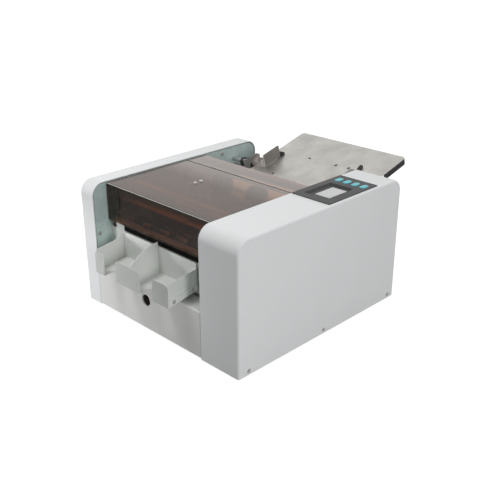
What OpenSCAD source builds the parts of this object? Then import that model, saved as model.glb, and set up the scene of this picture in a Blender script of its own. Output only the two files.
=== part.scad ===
// Desk machine that slits and chops a printed sheet into business cards.
// X runs across the machine with the controls on the +X side, Y runs from the card
// trays (-Y) to the paper table (+Y), and Z is up. The origin lies on the floor,
// below the middle of the whole machine.
// Inside the modules, Y is counted from the middle of the cheeks and Z from their
// lower edge; placed() moves a finished piece into the frame above.

/* [Casing] */
// Width over both cheeks
body_w = 400; // [390:1:430]
// Depth of a cheek
body_d = 410; // [400:1:440]
// Height of a cheek
body_h = 233; // [228:1:250]
// Width of the left cheek
left_cheek_w = 37; // [35:1:42]
// Width of the right cheek, which holds the drive and the controls
right_cheek_w = 86; // [84:1:92]
// Radius of the cheeks' top corners, seen from the side
cheek_corner_r = 24; // [16:1:34]
// Radius of the bend between a cheek's side and its rim
cheek_bend_r = 4; // [3:0.5:6]
// Thickness of the sheet of the cheek covers
cover_t = 2; // [1.2:0.1:2.5]
// Thickness of the two frame plates
frame_t = 3; // [2:0.5:5]
// How far a frame plate lies inside the rim of its cover
frame_recess = 1; // [0.5:0.5:3]
// Visible gap between a cover's rim and the edge of the frame plate
rim_gap = 1.5; // [1:0.25:3]
// Height of the rubber feet below the cheeks
foot_h = 3; // [2:0.5:8]
// Diameter of a rubber foot
foot_d = 24; // [16:1:30]

/* [Hood] */
// Height of the hood's top below the top of the cheeks
hood_drop = 3; // [2:0.5:5]
// Thickness of the smoked sheet
hood_t = 3; // [2:0.5:3.5]
// Outer radius of the bend along the hood's front edge
hood_bend_r = 4; // [3.5:0.5:12]
// Distance of the hood's front from the front of the cheeks
hood_setback = 30; // [28:1:36]
// Gap between the hood and the rim of each cheek
hood_side_gap = 2.5; // [1.5:0.5:4]
// Distance of the hood's hinge behind the middle of the cheeks
hinge_y = 11.5; // [9:0.5:13]
// Depth of the fixed strip behind the hood
strip_d = 45; // [42:1:48]

/* [Card trays] */
// Width of one card bay
bay_w = 97; // [93:0.5:99]
// How far the trays stand out from the cheeks
tray_out = 30; // [28:1:40]
// Slope of the trays' floor in degrees
tray_slope = 10.5; // [8:0.5:12]
// Thickness of the trays' sheet
tray_t = 1.2; // [1:0.1:1.6]
// Height of the front stops above the floor
stop_h = 43; // [38:1:46]
// Width of the finger notch in each front stop
notch_w = 34; // [28:1:40]

/* [Waste drawer] */
// Height of the waste drawer's ledge above the lower edge of the cheeks
drawer_h = 87; // [84:1:90]
// Length of the drawer's pan
pan_d = 240; // [200:5:250]
// Radius of the drawer's finger hole
grip_r = 10; // [8:0.5:14]
// Height of the finger hole's middle
grip_z = 57; // [52:1:62]

/* [Paper table] */
// Slope of the paper table in degrees
table_tilt = 15; // [13:0.5:16]
// How far the table reaches behind the cheeks
table_out = 71; // [66:1:80]
// Left edge of the table
table_left_x = -93; // [-100:1:-88]
// Right edge of the table behind the cheek
table_right_x = 160; // [150:1:170]
// Height of the table's folded rim
table_rim = 12; // [10:0.5:14]
// Distance of the left paper guide's plate from the middle of the cheeks' span
guide_x = 67; // [62:1:70]
// Height of the paper guides
guide_h = 26; // [22:1:30]

/* [Cutting] */
// Width of a cut card
card_w = 90; // [86:0.5:91]
// Width of the strip cut out between the two columns of cards
gutter = 3; // [3:0.5:5]
// Radius of the slitting blades
blade_r = 18; // [17.5:0.25:18.5]
// Radius of the roller shafts
shaft_r = 4; // [3.5:0.25:4.5]
// Radius of the feed rollers
feed_r = 18; // [16:0.5:20]
// Radius of the delivery rollers
delivery_r = 12; // [11:0.5:12]
// Travel of the chopping knife
knife_travel = 7; // [6:0.5:8]

/* [Controls] */
// Depth of the control panel along the cheek
panel_d = 131; // [124:1:136]
// Width of the control panel
panel_w = 81; // [79:0.5:82]
// Number of push buttons
buttons = 4; // [4:1:4]
// Distance between two buttons
button_pitch = 18; // [17:0.5:19]
// Width of a button
button_w = 11; // [9:0.5:12]
// Length of a button
button_l = 19; // [16:0.5:22]
// Travel of a button
button_travel = 1.5; // [1:0.25:2]

/* [Hidden] */
$fn = 64;

// Clearances
run_gap = 0.05;
slide_gap = 0.3;
cut_over = 1;

// Where the casing's main planes lie
front_y = -body_d / 2;
rear_y = body_d / 2;
left_rim_x = -body_w / 2 + left_cheek_w;
right_rim_x = body_w / 2 - right_cheek_w;
left_x = left_rim_x - frame_recess;
right_x = right_rim_x + frame_recess;
span = right_x - left_x;
tray_front_y = front_y - tray_out;
table_rear_y = rear_y + table_out;
mid_y = -(tray_front_y + table_rear_y + table_rim * sin(table_tilt)) / 2;

// Base plate
base_z = 2;
base_t = 2;
base_top = base_z + base_t;
base_gap = 0.5;
base_rim = 12;
base_x = body_w / 2 - cover_t - base_gap;
base_front_y = front_y + 6;
base_rear_y = rear_y - 6;
frame_edge = cover_t + rim_gap;
frame_flange = 10;
foot_inset_x = 40;
foot_inset_y = 36;

// Screws of the casing
screw_head_r = 3.5;
screw_head_h = 1.2;
screw_shank_r = 1.6;
cover_screw_z = 8;
cover_screw_y = [-0.445 * body_d, 0, 0.455 * body_d];
frame_screw_at = [[front_y + 9.5, 138], [110, body_h - 11.5], [rear_y - 16, body_h - 83]];

// Hood
hood_top = body_h - hood_drop;
hood_under = hood_top - hood_t;
hood_front_y = front_y + hood_setback;
hood_left_x = left_rim_x + hood_side_gap;
hood_right_x = right_rim_x - hood_side_gap;
hood_w = hood_right_x - hood_left_x;
hinge_r = 2.5;
hinge_ear_r = 4;
hinge_z = hood_top - 4;
hood_rear_gap = 3.2;
strip_front_y = hinge_y + hinge_ear_r + 0.6;
strip_rear_y = strip_front_y + strip_d;
hood_side_d = 14;
hood_screw_x = left_rim_x + 116;
hood_screw_y = [hood_front_y + 109, hood_front_y + 123];
magnet_w = 16;

// Card trays: one folded floor, a wall on each side, a back wall and a divider
divider_x = -25.5;
tray_left_x = divider_x - bay_w;
tray_right_x = divider_x + bay_w;
tray_back_y = hood_front_y + 3;
tray_d = tray_back_y - tray_front_y;
tray_floor_z = drawer_h + 2;
tray_rise = tan(tray_slope);
tray_back_floor_z = tray_floor_z + tray_d * tray_rise;
tray_back_top = tray_back_floor_z + 47;
divider_top = tray_back_top + 9;
stop_top = tray_floor_z + stop_h;
notch_x = [-82.5, 16];
notch_depth = 7;
tray_flange_h = 12;
hook_w = 18;
hook_x = [tray_left_x + 36, tray_right_x - 36];
stop_corner_r = 6;
wall_rise_left = 14;
wall_rise_right = 6;
hook_z = tray_back_floor_z + 28;
hook_lip = 3;
tray_lift = 3.5;
tray_screw_y = [tray_front_y + 12, tray_back_y - 11];

// Front fascia behind the trays, with the slot where the cards come out
fascia_t = 1.5;
fascia_gap = 2.8;
fascia_y = tray_back_y + fascia_gap;
fascia_z0 = drawer_h + 4;
slot_z0 = tray_back_top - 1;
slot_z1 = tray_back_top + 14;
slot_left_x = left_x + 39;
slot_right_x = right_x - 13;
fascia_right_x = right_x - 8;
fascia_step_x = left_x + 17;
fascia_top = slot_z1 + 9;
hood_front_z = tray_back_top + 13;

// Waste drawer
drawer_gap = 1;
drawer_t = 2;
drawer_bend_r = 3;
drawer_z0 = 1.5;
drawer_left_x = left_rim_x + drawer_gap;
drawer_right_x = right_rim_x - drawer_gap;
ledge_rear_y = tray_back_y + 1;
pan_t = 1.5;
pan_gap = 4;
pan_h = 72;
grip_x = divider_x;
drawer_travel = 150;

// Paper path: nip heights of the three roller pairs
paper_z = tray_back_top + 6;
delivery_y = fascia_y + 18;
delivery_gap = 0.3;
slitter_y = front_y + 145;
slitter_z = paper_z + 4;
slitter_dist = 35.2;
feed_y = slitter_y + 80;
feed_z = hood_under - 11 - feed_r;
feed_gap = 1.7;

// Paper table: its top surface passes just below the feed rollers
table_t = 1.2;
table_front_y = feed_y + 8;
table_front_z = feed_z - feed_r - feed_gap + (table_front_y - feed_y) * tan(table_tilt);
table_len = (table_rear_y - table_front_y) / cos(table_tilt);
table_step = (rear_y - 5 - table_front_y) / cos(table_tilt);
table_bare = 8;
table_narrow_x = right_x - 3;
table_corner_r = 8;
table_hole_r = 2;
table_hole_y = rear_y - 6;
table_hole_x = [right_x - 123, right_x - 58, right_x - 29];
bracket_w = 16;
bracket_x = [table_left_x + 13, right_x - 45];
function table_z(y) = table_front_z + (y - table_front_y) * tan(table_tilt);
function table_under(y) = table_z(y) - table_t / cos(table_tilt);

// Paper guides
guide_t = 1.5;
guide_s = 108.7;
guide_l = 46.6;
guide_lift = 0.8;
rod_r = 4;
rod_s = guide_s + 8;
rod_h = -6;
rod_y = table_front_y + rod_s * cos(table_tilt) - rod_h * sin(table_tilt);
rod_z = table_front_z + rod_s * sin(table_tilt) + rod_h * cos(table_tilt);
guide_plate_x = -guide_x;
guide_block = [-guide_x - 60, -guide_x - 42];
wing_peak_x = -guide_x - 16;
window_x = [-guide_x - 9, -guide_x - 3];
window_h = [3, guide_h - 10];
knob_r = 9;
knob_w = 12;
knob_gap = 0.3;
right_guide_x = right_x - 4;
right_guide_foot = 20;
right_guide_s = [guide_s + 6, guide_s + 69];

// Separator below the feed rollers
bar_w = 10;
table_bar_y = [table_front_y + 42, table_front_y + 117];
separator_x = [divider_x - 69.5, divider_x + 70.5];
pad_top = feed_z - feed_r - 0.6;
pad_h = 9;
separator_bar_z = pad_top - pad_h - 20;

// Feed, slitting and delivery rollers
bearing_r = 8;
bearing_flange_r = 10;
bearing_flange_t = 1.5;
shaft_left_x = left_x - frame_t - 4;
gear_x = right_x + frame_t + 4;
gear_w = 8;
pulley_x = gear_x + gear_w + 2;
pulley_w = 8;
pulley_2_x = pulley_x + pulley_w + 2;
slitter_gear_m = 1.75;
slitter_teeth = 20;
delivery_gear_m = 1.5;
delivery_teeth = 16;
delivery_dist = 2 * delivery_r + delivery_gap;
slitter_low_z = slitter_z - slitter_dist / 2;
slitter_high_z = slitter_z + slitter_dist / 2;
delivery_low_z = paper_z - delivery_dist / 2;
delivery_high_z = paper_z + delivery_dist / 2;
slit_x = [
    divider_x - gutter / 2 - card_w, divider_x - gutter / 2,
    divider_x + gutter / 2, divider_x + gutter / 2 + card_w
];
slit_side = [-1, 1, -1, 1];
blade_t = 1.2;
blade_gap = 0.1;
blade_hub_r = 11;
blade_hub_w = 7;
feed_roller_x = [divider_x - 44.5, divider_x + 45.5];
feed_roller_w = 24;
delivery_roller_x = [for (d = [-69.5, -24.5, 25.5, 70.5]) divider_x + d];
delivery_roller_w = 14;

// Belt drive
belt_t = 1.5;
belt_w = 6;
belt_gap = 0.3;
slitter_pulley_r = 14;
slitter_pulley_2_r = 12;
upper_pulley_r = 12;
feed_pulley_r = 12;
delivery_pulley_r = 8;
motor_pulley_r = 7;
motor_y = 80;
motor_z = 50;
motor_r = 25;
motor_len = 66;
rotor_r = 17;
rotor_x = [right_x - motor_len + 14, right_x - 12];
rotor_gap = 2;

// Chopping knife
knife_y = fascia_y + 56;
bed_top = paper_z - 1.5;
bed_h = 26;
bed_d = 12;
bed_foot_z = bed_top - bed_h - 8;
bed_lip = 20;
blade_plate_t = 3;
knife_shear = 0.3;
knife_rest = 5;
carriage_d = 12;
carriage_h = 20;
carriage_x = [left_x + 14, right_x - 15];
post_r = 5;
post_x = [carriage_x[0] + 15, carriage_x[1] - 15];
post_y = knife_y - knife_shear - blade_plate_t - carriage_d / 2;
carriage_z = bed_top + knife_rest + 9;
post_top = hood_under - 8;
cam_r = 6;
cam_throw = 3.5;
cam_w = 6;
cam_y = post_y - 21;
cam_z = carriage_z + 29;
cam_clear = 0.4;
yoke_t = 4;
yoke_half = cam_r + cam_throw + cam_clear;
knife_motor_r = 18;
knife_motor_len = 26;

// Control panel
panel_y0 = 6;
panel_t = 1.5;
panel_x0 = right_rim_x + 1.5;
panel_mid_x = panel_x0 + panel_w / 2;
panel_top = body_h + panel_t;
tub_inset = 5;
tub_z = body_h - 7;
tub_gap = 0.5;
recess_w = 50;
recess_l = 71.5;
recess_x = panel_mid_x - 2;
recess_y = panel_y0 + 50.7;
recess_slope = 5;
recess_floor = body_h - 2.3;
lcd_w = 33;
lcd_l = 50;
lcd_t = 1.5;
lcd_x = panel_mid_x + 0.5;
lcd_y = panel_y0 + 54.7;
button_shift = 1.6;
button_y = panel_y0 + panel_d - 23;
button_rise = 1;
button_foot = body_h - 5;

// Rear side
rear_panel_t = 1.5;
rear_panel_y = rear_y - 9;
rear_panel_top = 190;
inlet_x = right_x - 37;
inlet_z = 42;
switch_x = right_x - 85;
switch_w = 13;
switch_h = 20;
rocker_r = 11;
supply_d = 80;
supply_h = 50;

// ---------------------------------------------------------------- helpers

// Moves a piece from the casing's own axes to the frame of the whole part
module placed() {
    translate([0, mid_y, foot_h]) children();
}

// Extrudes an outline drawn in Y and Z along X
module slab_x(x0, len) {
    translate([x0, 0, 0]) rotate([90, 0, 90]) linear_extrude(len) children();
}

// Extrudes an outline drawn in X and Z along Y
module slab_y(y0, len) {
    translate([0, y0 + len, 0]) rotate([90, 0, 0]) linear_extrude(len) children();
}

// Round bar along X
module rod_x(x0, x1, y, z, r) {
    translate([x0, y, z]) rotate([0, 90, 0]) cylinder(r = r, h = x1 - x0);
}

// Box between two values on each axis
module block(x, y, z) {
    translate([x[0], y[0], z[0]]) cube([x[1] - x[0], y[1] - y[0], z[1] - z[0]]);
}

// Outline of a cheek seen from the side: square below, round above
module arch(d, h, r, z0 = 0) {
    translate([-d / 2, z0]) square([d, h - r - z0]);
    translate([-d / 2 + r, z0]) square([d - 2 * r, h - z0]);
    for (s = [-1, 1]) translate([s * (d / 2 - r), h - r]) circle(r);
}

// Section of a sheet folded once: one leg runs down a, the other right b, from the corner
module fold(a, b, t, r) {
    translate([0, -a]) square([t, a - r]);
    translate([r, -t]) square([b - r, t]);
    intersection() {
        translate([r, -r]) difference() {
            circle(r);
            circle(r - t);
        }
        translate([0, -r]) square([r, r]);
    }
}

// Outline with two round ends, w wide and l long
module stadium(w, l) {
    translate([-w / 2, -(l - w) / 2]) square([w, l - w]);
    for (s = [-1, 1]) translate([0, s * (l - w) / 2]) circle(w / 2);
}

// Pan-head screw along X, head pointing to the side given by s
module screw_x(x, y, z, s, len) {
    translate([x, y, z]) rotate([0, s * 90, 0]) {
        cylinder(r = screw_head_r, h = screw_head_h);
        translate([0, 0, -len]) cylinder(r = screw_shank_r, h = len);
    }
}

// Cross-section of a cover at its rim, from the corner's centre outwards
module cover_section(w) {
    r = cheek_corner_r;
    b = cheek_bend_r;
    translate([r - cover_t, 0]) square([cover_t, w - b]);
    translate([0, w - cover_t]) square([r - b, cover_t]);
    intersection() {
        translate([r - b, w - b]) difference() {
            circle(b);
            circle(b - cover_t);
        }
        translate([r - b, w - b]) square([b, b]);
    }
}

// Cheek cover folded from sheet, open towards the frame plate; w is its width along +X
module cover(w) {
    r = cheek_corner_r;
    flat = body_d - 2 * r;
    upright = body_h - r;
    for (s = [0, 1]) mirror([0, s, 0]) {
        // upright wall with its bend
        translate([0, flat / 2, 0]) rotate([0, 0, 90]) mirror([0, 1, 0])
            linear_extrude(upright) cover_section(w);
        // round corner
        translate([0, flat / 2, upright]) rotate([0, 90, 0]) rotate([0, 0, 90])
            rotate_extrude(angle = 90) cover_section(w);
    }
    // top wall with its bend
    translate([0, -flat / 2, upright]) rotate([-90, 0, 0]) mirror([0, 1, 0]) rotate([0, 0, 90])
        mirror([0, 1, 0]) linear_extrude(flat) cover_section(w);
    // side
    translate([w - cover_t, -flat / 2, 0]) cube([cover_t, flat, upright]);
}

// ---------------------------------------------------------------- casing

// Folded bottom of the machine; its rims take the screws of the covers
module base_plate() {
    color("silver") placed() {
        block([-base_x, base_x], [base_front_y, base_rear_y], [base_z, base_top]);
        for (s = [-1, 1]) difference() {
            x = s * (base_x - base_t / 2);
            block([x - base_t / 2, x + base_t / 2], [base_front_y, base_rear_y], [base_top, base_top + base_rim]);
            for (y = cover_screw_y) rod_x(x - base_t, x + base_t, y, cover_screw_z, screw_shank_r);
        }
    }
}

// Outline of a frame plate with a folded foot, drilled for every shaft
module frame_plate(x, foot_side, extra_holes) {
    difference() {
        union() {
            slab_x(x, frame_t)
                arch(body_d - 2 * frame_edge, body_h - frame_edge, cheek_corner_r - frame_edge, base_top);
            foot_x = foot_side > 0 ? [x + frame_t, x + frame_t + frame_flange] : [x - frame_flange, x];
            for (y = [front_y + 40, 0, rear_y - 60])
                block(foot_x, [y, y + 30], [base_top, base_top + frame_t]);
        }
        for (p = shafts()) rod_x(x - cut_over, x + frame_t + cut_over, p[0], p[1], bearing_r);
        for (p = extra_holes) rod_x(x - cut_over, x + frame_t + cut_over, p[0], p[1], p[2]);
    }
}

// Axes of the shafts that run in bearings: Y and Z of each
function shafts() = [
    [feed_y, feed_z], [slitter_y, slitter_low_z], [slitter_y, slitter_high_z],
    [delivery_y, delivery_low_z], [delivery_y, delivery_high_z], [cam_y, cam_z]
];

module left_frame_plate() {
    color("#93a8a3") placed()
        frame_plate(left_x - frame_t, -1, [for (p = frame_screw_at) [p[0], p[1], screw_shank_r]]);
}

module right_frame_plate() {
    holes = [for (p = frame_screw_at) [p[0], p[1], screw_shank_r]];
    color("#93a8a3") placed()
        frame_plate(right_x, 1, concat(holes, [[motor_y, motor_z, shaft_r + 2]]));
}

// Screw holes along the lower edge of a cover
module cover_screw_holes(w) {
    for (y = cover_screw_y) rod_x(w - 2 * cover_t, w + cut_over, y, cover_screw_z, screw_shank_r);
}

module left_cover() {
    color("#e4e6e6") placed() translate([left_rim_x, 0, 0]) mirror([1, 0, 0]) difference() {
        cover(left_cheek_w);
        cover_screw_holes(left_cheek_w);
    }
}

module right_cover() {
    color("#e4e6e6") placed() difference() {
        translate([right_rim_x, 0, 0]) difference() {
            cover(right_cheek_w);
            cover_screw_holes(right_cheek_w);
        }
        block(
            [panel_x0 + tub_inset - tub_gap, panel_x0 + panel_w - tub_inset + tub_gap],
            [panel_y0 + tub_inset - tub_gap, panel_y0 + panel_d - tub_inset + tub_gap],
            [body_h - 2 * cover_t, body_h + cut_over]
        );
    }
}

module cover_screws() {
    color("gray") placed() for (s = [-1, 1]) for (y = cover_screw_y)
        screw_x(s * body_w / 2, y, cover_screw_z, s, cover_t + base_gap + base_t);
}

// Screws in the frame plates, which hold the covers' inner clips
module frame_screws() {
    color("gray") placed() for (p = frame_screw_at) {
        screw_x(left_x, p[0], p[1], 1, frame_t);
        screw_x(right_x, p[0], p[1], -1, frame_t);
    }
}

module rubber_feet() {
    color("#202020") placed() for (sx = [-1, 1]) for (sy = [-1, 1])
        translate([sx * (body_w / 2 - foot_inset_x), sy * (body_d / 2 - foot_inset_y), -foot_h])
            cylinder(d = foot_d, h = foot_h + base_z);
}

module rear_panel() {
    color("#dcdedd") placed() difference() {
        block([left_x, right_x], [rear_panel_y, rear_panel_y + rear_panel_t], [base_top, rear_panel_top]);
        block(
            [inlet_x - 14, inlet_x + 14], [rear_panel_y - cut_over, rear_panel_y + 4], [inlet_z - 10, inlet_z + 10]
        );
        block(
            [switch_x - switch_w / 2 - 1.5, switch_x + switch_w / 2 + 1.5],
            [rear_panel_y - cut_over, rear_panel_y + 4],
            [inlet_z - switch_h / 2 - 1.5, inlet_z + switch_h / 2 + 1.5]
        );
        for (i = [0:9]) slab_y(rear_panel_y - cut_over, 4)
            translate([-110 + i * 8, 110]) stadium(3, 40);
    }
}

// Appliance inlet and the frame of the power switch, both clipped into the rear panel
module power_inlet() {
    out_y = rear_panel_y + rear_panel_t;
    color("#1c1c1c") placed() {
        difference() {
            union() {
                block([inlet_x - 17, inlet_x + 17], [out_y, out_y + 3], [inlet_z - 13, inlet_z + 13]);
                block([inlet_x - 14, inlet_x + 14], [out_y - 20, out_y], [inlet_z - 10, inlet_z + 10]);
            }
            slab_y(out_y - 14, 20) translate([inlet_x, inlet_z])
                polygon([[-12, -8], [12, -8], [12, 3], [7, 8], [-7, 8], [-12, 3]]);
        }
        for (p = [[-7, -2], [0, 2], [7, -2]])
            block([inlet_x + p[0] - 1, inlet_x + p[0] + 1], [out_y - 14, out_y + 1],
                [inlet_z + p[1] - 2, inlet_z + p[1] + 2]);
        difference() {
            union() {
                block([switch_x - switch_w / 2 - 3, switch_x + switch_w / 2 + 3], [out_y, out_y + 2],
                    [inlet_z - switch_h / 2 - 3, inlet_z + switch_h / 2 + 3]);
                block([switch_x - switch_w / 2 - 1.5, switch_x + switch_w / 2 + 1.5], [out_y - 16, out_y],
                    [inlet_z - switch_h / 2 - 1.5, inlet_z + switch_h / 2 + 1.5]);
            }
            block([switch_x - switch_w / 2, switch_x + switch_w / 2], [out_y - 14, out_y + 3],
                [inlet_z - switch_h / 2, inlet_z + switch_h / 2]);
            rod_x(switch_x - switch_w / 2 - 1, switch_x + switch_w / 2 + 1, out_y - 6, inlet_z, 1.5);
        }
    }
}

// Rocker of the power switch, turning on two stub pins
module power_switch() {
    out_y = rear_panel_y + rear_panel_t;
    w = switch_w - 2 * slide_gap;
    color("#2a2a2a") placed() {
        intersection() {
            rod_x(switch_x - w / 2, switch_x + w / 2, out_y - 6, inlet_z, rocker_r - 1.5);
            block([switch_x - w, switch_x + w], [out_y - 12, out_y + 3], [inlet_z - 7.5, inlet_z + 7.5]);
        }
        rod_x(switch_x - switch_w / 2 - 0.9, switch_x + switch_w / 2 + 0.9, out_y - 6, inlet_z, 1.5 - run_gap);
    }
}

// Square bars that hold the two frame plates apart
module tie_bars() {
    color("silver") placed() {
        for (p = tie_at()) block([left_x, right_x], [p[0], p[0] + bar_w], [p[1], p[1] + bar_w]);
    }
}

// Front lower corner of each tie bar: Y and Z
function tie_at() = [
    [strip_rear_y - bar_w - 3, hood_under - bar_w],
    [feed_y - bar_w / 2, separator_bar_z],
    [table_bar_y[0], table_under(table_bar_y[0]) - 25],
    [table_bar_y[1], table_under(table_bar_y[1]) - 25],
    [slitter_y + 20, drawer_h + 10]
];

// Front fascia: a sheet with the card slot, stepped on the left, with two hook slots
module front_fascia() {
    color("#d8dad9") placed() {
        slab_y(fascia_y, fascia_t) difference() {
            translate([left_x, fascia_z0]) square([span, fascia_top - fascia_z0]);
            translate([slot_left_x, slot_z0]) square([slot_right_x - slot_left_x, slot_z1 - slot_z0]);
            translate([left_x - cut_over, slot_z0]) square([fascia_step_x - left_x + cut_over, fascia_top]);
            translate([fascia_right_x, slot_z0]) square([right_x, fascia_top]);
            for (x = hook_x) translate([x - hook_w / 2 - 1, hook_z]) square([hook_w + 2, tray_lift + 6]);
        }
        // folded lower edge
        block([left_x, right_x], [fascia_y + fascia_t, fascia_y + 12], [fascia_z0, fascia_z0 + fascia_t]);
    }
}

// ---------------------------------------------------------------- waste drawer

// Front of the drawer, folded back at the top into the ledge below the trays
module drawer_front() {
    color("#d4d5d3") placed() difference() {
        slab_x(drawer_left_x, drawer_right_x - drawer_left_x) translate([front_y, drawer_h])
            fold(drawer_h - drawer_z0, ledge_rear_y - front_y, drawer_t, drawer_bend_r);
        translate([grip_x, front_y - cut_over, grip_z]) rotate([-90, 0, 0]) cylinder(r = grip_r, h = drawer_t + 2);
    }
}

// Open pan that catches the trimmings
module drawer_pan() {
    x0 = left_x + pan_gap;
    x1 = right_x - pan_gap;
    y0 = front_y + drawer_t;
    y1 = y0 + pan_d;
    z0 = base_top + slide_gap;
    color("#c4c6c5") placed() difference() {
        block([x0, x1], [y0, y1], [z0, z0 + pan_h]);
        block([x0 + pan_t, x1 - pan_t], [y0 + pan_t, y1 - pan_t], [z0 + pan_t, z0 + pan_h + cut_over]);
        translate([grip_x, y0 - cut_over, grip_z]) rotate([-90, 0, 0]) cylinder(r = grip_r, h = pan_t + 2);
    }
}

// ---------------------------------------------------------------- card trays

// Height of the floor's top surface at a depth y
function floor_z(y) = tray_floor_z + (y - tray_front_y) * tray_rise;

// Notch for the fingers, cut through a stop and back into the floor, drawn in X and Y
module notch_outline(x) {
    translate([x - notch_w / 2, tray_front_y - cut_over]) square([notch_w, notch_depth + cut_over]);
    translate([x, tray_front_y + notch_depth]) circle(notch_w / 2);
}

// One front stop between x0 and x1, its upper corners rounded
module stop_outline(x0, x1) {
    low = tray_floor_z - tray_t;
    r = stop_corner_r;
    translate([x0, low]) square([x1 - x0, stop_top - r - low]);
    translate([x0 + r, low]) square([x1 - x0 - 2 * r, stop_top - low]);
    for (x = [x0 + r, x1 - r]) translate([x, stop_top - r]) circle(r);
}

// Sloping floor with the front stops and the folded side flanges
module tray_floor() {
    low = tray_floor_z - tray_t;
    color("#bcc0bc") placed() {
        difference() {
            slab_x(tray_left_x, 2 * bay_w) polygon([
                [tray_front_y, low], [tray_back_y, floor_z(tray_back_y) - tray_t],
                [tray_back_y, floor_z(tray_back_y)], [tray_front_y, tray_floor_z]
            ]);
            for (x = notch_x) translate([0, 0, low - cut_over])
                linear_extrude(tray_d * tray_rise + 10) notch_outline(x);
        }
        slab_y(tray_front_y, tray_t) {
            stop_outline(tray_left_x, notch_x[0] - notch_w / 2);
            stop_outline(notch_x[0] + notch_w / 2, notch_x[1] - notch_w / 2);
            stop_outline(notch_x[1] + notch_w / 2, tray_right_x);
        }
        difference() {
            for (x = [tray_left_x - tray_t, tray_right_x]) slab_x(x, tray_t) polygon([
                [tray_front_y, low], [tray_back_y, floor_z(tray_back_y) - tray_t],
                [tray_back_y, floor_z(tray_back_y) + tray_flange_h - tray_t],
                [tray_front_y, low + tray_flange_h]
            ]);
            for (y = tray_screw_y) rod_x(tray_left_x - 5, tray_right_x + 5, y, floor_z(y) + 6, screw_shank_r);
        }
    }
}

// Side view of a side wall: low at the stop, rising in a soft curve to the back
module wall_outline(rise) {
    polygon([
        [tray_front_y + tray_t, floor_z(tray_front_y + tray_t)],
        [tray_back_y - tray_t, floor_z(tray_back_y - tray_t)],
        for (i = [0:10]) let (s = i / 10)
            [tray_back_y - tray_t - s * (tray_d - 2 * tray_t), stop_top + rise * (1 - s * s * (3 - 2 * s))]
    ]);
}

module tray_side_walls() {
    color("#bcc0bc") placed() difference() {
        union() {
            slab_x(tray_left_x, tray_t) wall_outline(wall_rise_left);
            slab_x(tray_right_x - tray_t, tray_t) wall_outline(wall_rise_right);
        }
        for (y = tray_screw_y) rod_x(tray_left_x - 5, tray_right_x + 5, y, floor_z(y) + 6, screw_shank_r);
    }
}

// Back wall with the two hooks that hang in the fascia
module tray_back_wall() {
    z0 = floor_z(tray_back_y);
    hook_y = fascia_y + fascia_t + 0.6;
    color("#bcc0bc") placed() {
        block([tray_left_x, tray_right_x], [tray_back_y - tray_t, tray_back_y], [z0, tray_back_top]);
        for (x = hook_x) {
            block([x - hook_w / 2, x + hook_w / 2], [tray_back_y, hook_y + tray_t], [hook_z, hook_z + 3]);
            block([x - hook_w / 2, x + hook_w / 2], [hook_y, hook_y + tray_t], [hook_z - hook_lip, hook_z]);
        }
    }
}

// Divider between the bays: high at the back, swept down to the height of the stop
module tray_divider() {
    drop = divider_top - stop_top;
    color("#b4bab6") placed() slab_x(divider_x - tray_t / 2, tray_t) polygon([
        [tray_front_y + tray_t, floor_z(tray_front_y + tray_t)],
        [tray_back_y - tray_t, floor_z(tray_back_y - tray_t)],
        for (i = [0:12]) let (s = i / 12)
            [tray_back_y - tray_t - s * (tray_d - 2 * tray_t), divider_top - drop * pow(s, 1.8)]
    ]);
}

module tray_screws() {
    color("gray") placed() for (y = tray_screw_y) {
        screw_x(tray_right_x + tray_t, y, floor_z(y) + 6, 1, 2 * tray_t);
        screw_x(tray_left_x - tray_t, y, floor_z(y) + 6, -1, 2 * tray_t);
    }
}

// ---------------------------------------------------------------- hood

// Smoked hood: front and top folded from one sheet, with a narrow flange at each end
module hood() {
    rear = hinge_y - hood_rear_gap;
    color([0.35, 0.28, 0.22, 0.6]) placed() difference() {
        union() {
            slab_x(hood_left_x, hood_w) translate([hood_front_y, hood_top])
                fold(hood_top - hood_front_z, rear - hood_front_y, hood_t, hood_bend_r);
            for (x = [hood_left_x, hood_right_x - hood_t]) {
                slab_x(x, hood_t) {
                    translate([hood_front_y + hood_t, hood_front_z])
                        square([hood_side_d, hood_under - hood_front_z - hood_bend_r + hood_t]);
                    translate([hood_front_y + hood_bend_r, hood_under - hood_side_d])
                        square([rear - hood_front_y - hood_bend_r, hood_side_d]);
                    translate([hinge_y, hinge_z]) circle(hinge_ear_r);
                    translate([rear - 1, hinge_z - hinge_ear_r]) square([hood_rear_gap + 1, 2 * hinge_ear_r]);
                }
            }
        }
        rod_x(hood_left_x - cut_over, hood_right_x + cut_over, hinge_y, hinge_z, hinge_r + run_gap);
        for (y = hood_screw_y) translate([hood_screw_x, y, hood_under - cut_over])
            cylinder(r = screw_shank_r, h = hood_t + 2);
    }
}

// Rod of the hood's hinge, held in the two frame plates
module hood_hinge_rod() {
    color("silver") placed() rod_x(left_x, right_x, hinge_y, hinge_z, hinge_r);
}

module hood_rear_strip() {
    color([0.35, 0.28, 0.22, 0.6]) placed()
        block([hood_left_x, hood_right_x], [strip_front_y, strip_rear_y], [hood_under, hood_top]);
}

// Bracket below the hood that carries the magnet of the safety switch
module hood_magnet_bracket() {
    y0 = hood_screw_y[0] - 8;
    y1 = hood_screw_y[1] + 8;
    color("#c8c8c8") placed() difference() {
        union() {
            block([hood_screw_x - magnet_w / 2, hood_screw_x + magnet_w / 2], [y0, y1],
                [hood_under - 1.5, hood_under]);
            block([hood_screw_x - magnet_w / 2, hood_screw_x - magnet_w / 2 + 1.5], [y0, y1],
                [hood_under - 16, hood_under - 1.5]);
        }
        for (y = hood_screw_y) translate([hood_screw_x, y, hood_under - 3])
            cylinder(r = screw_shank_r, h = 4);
    }
}

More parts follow.
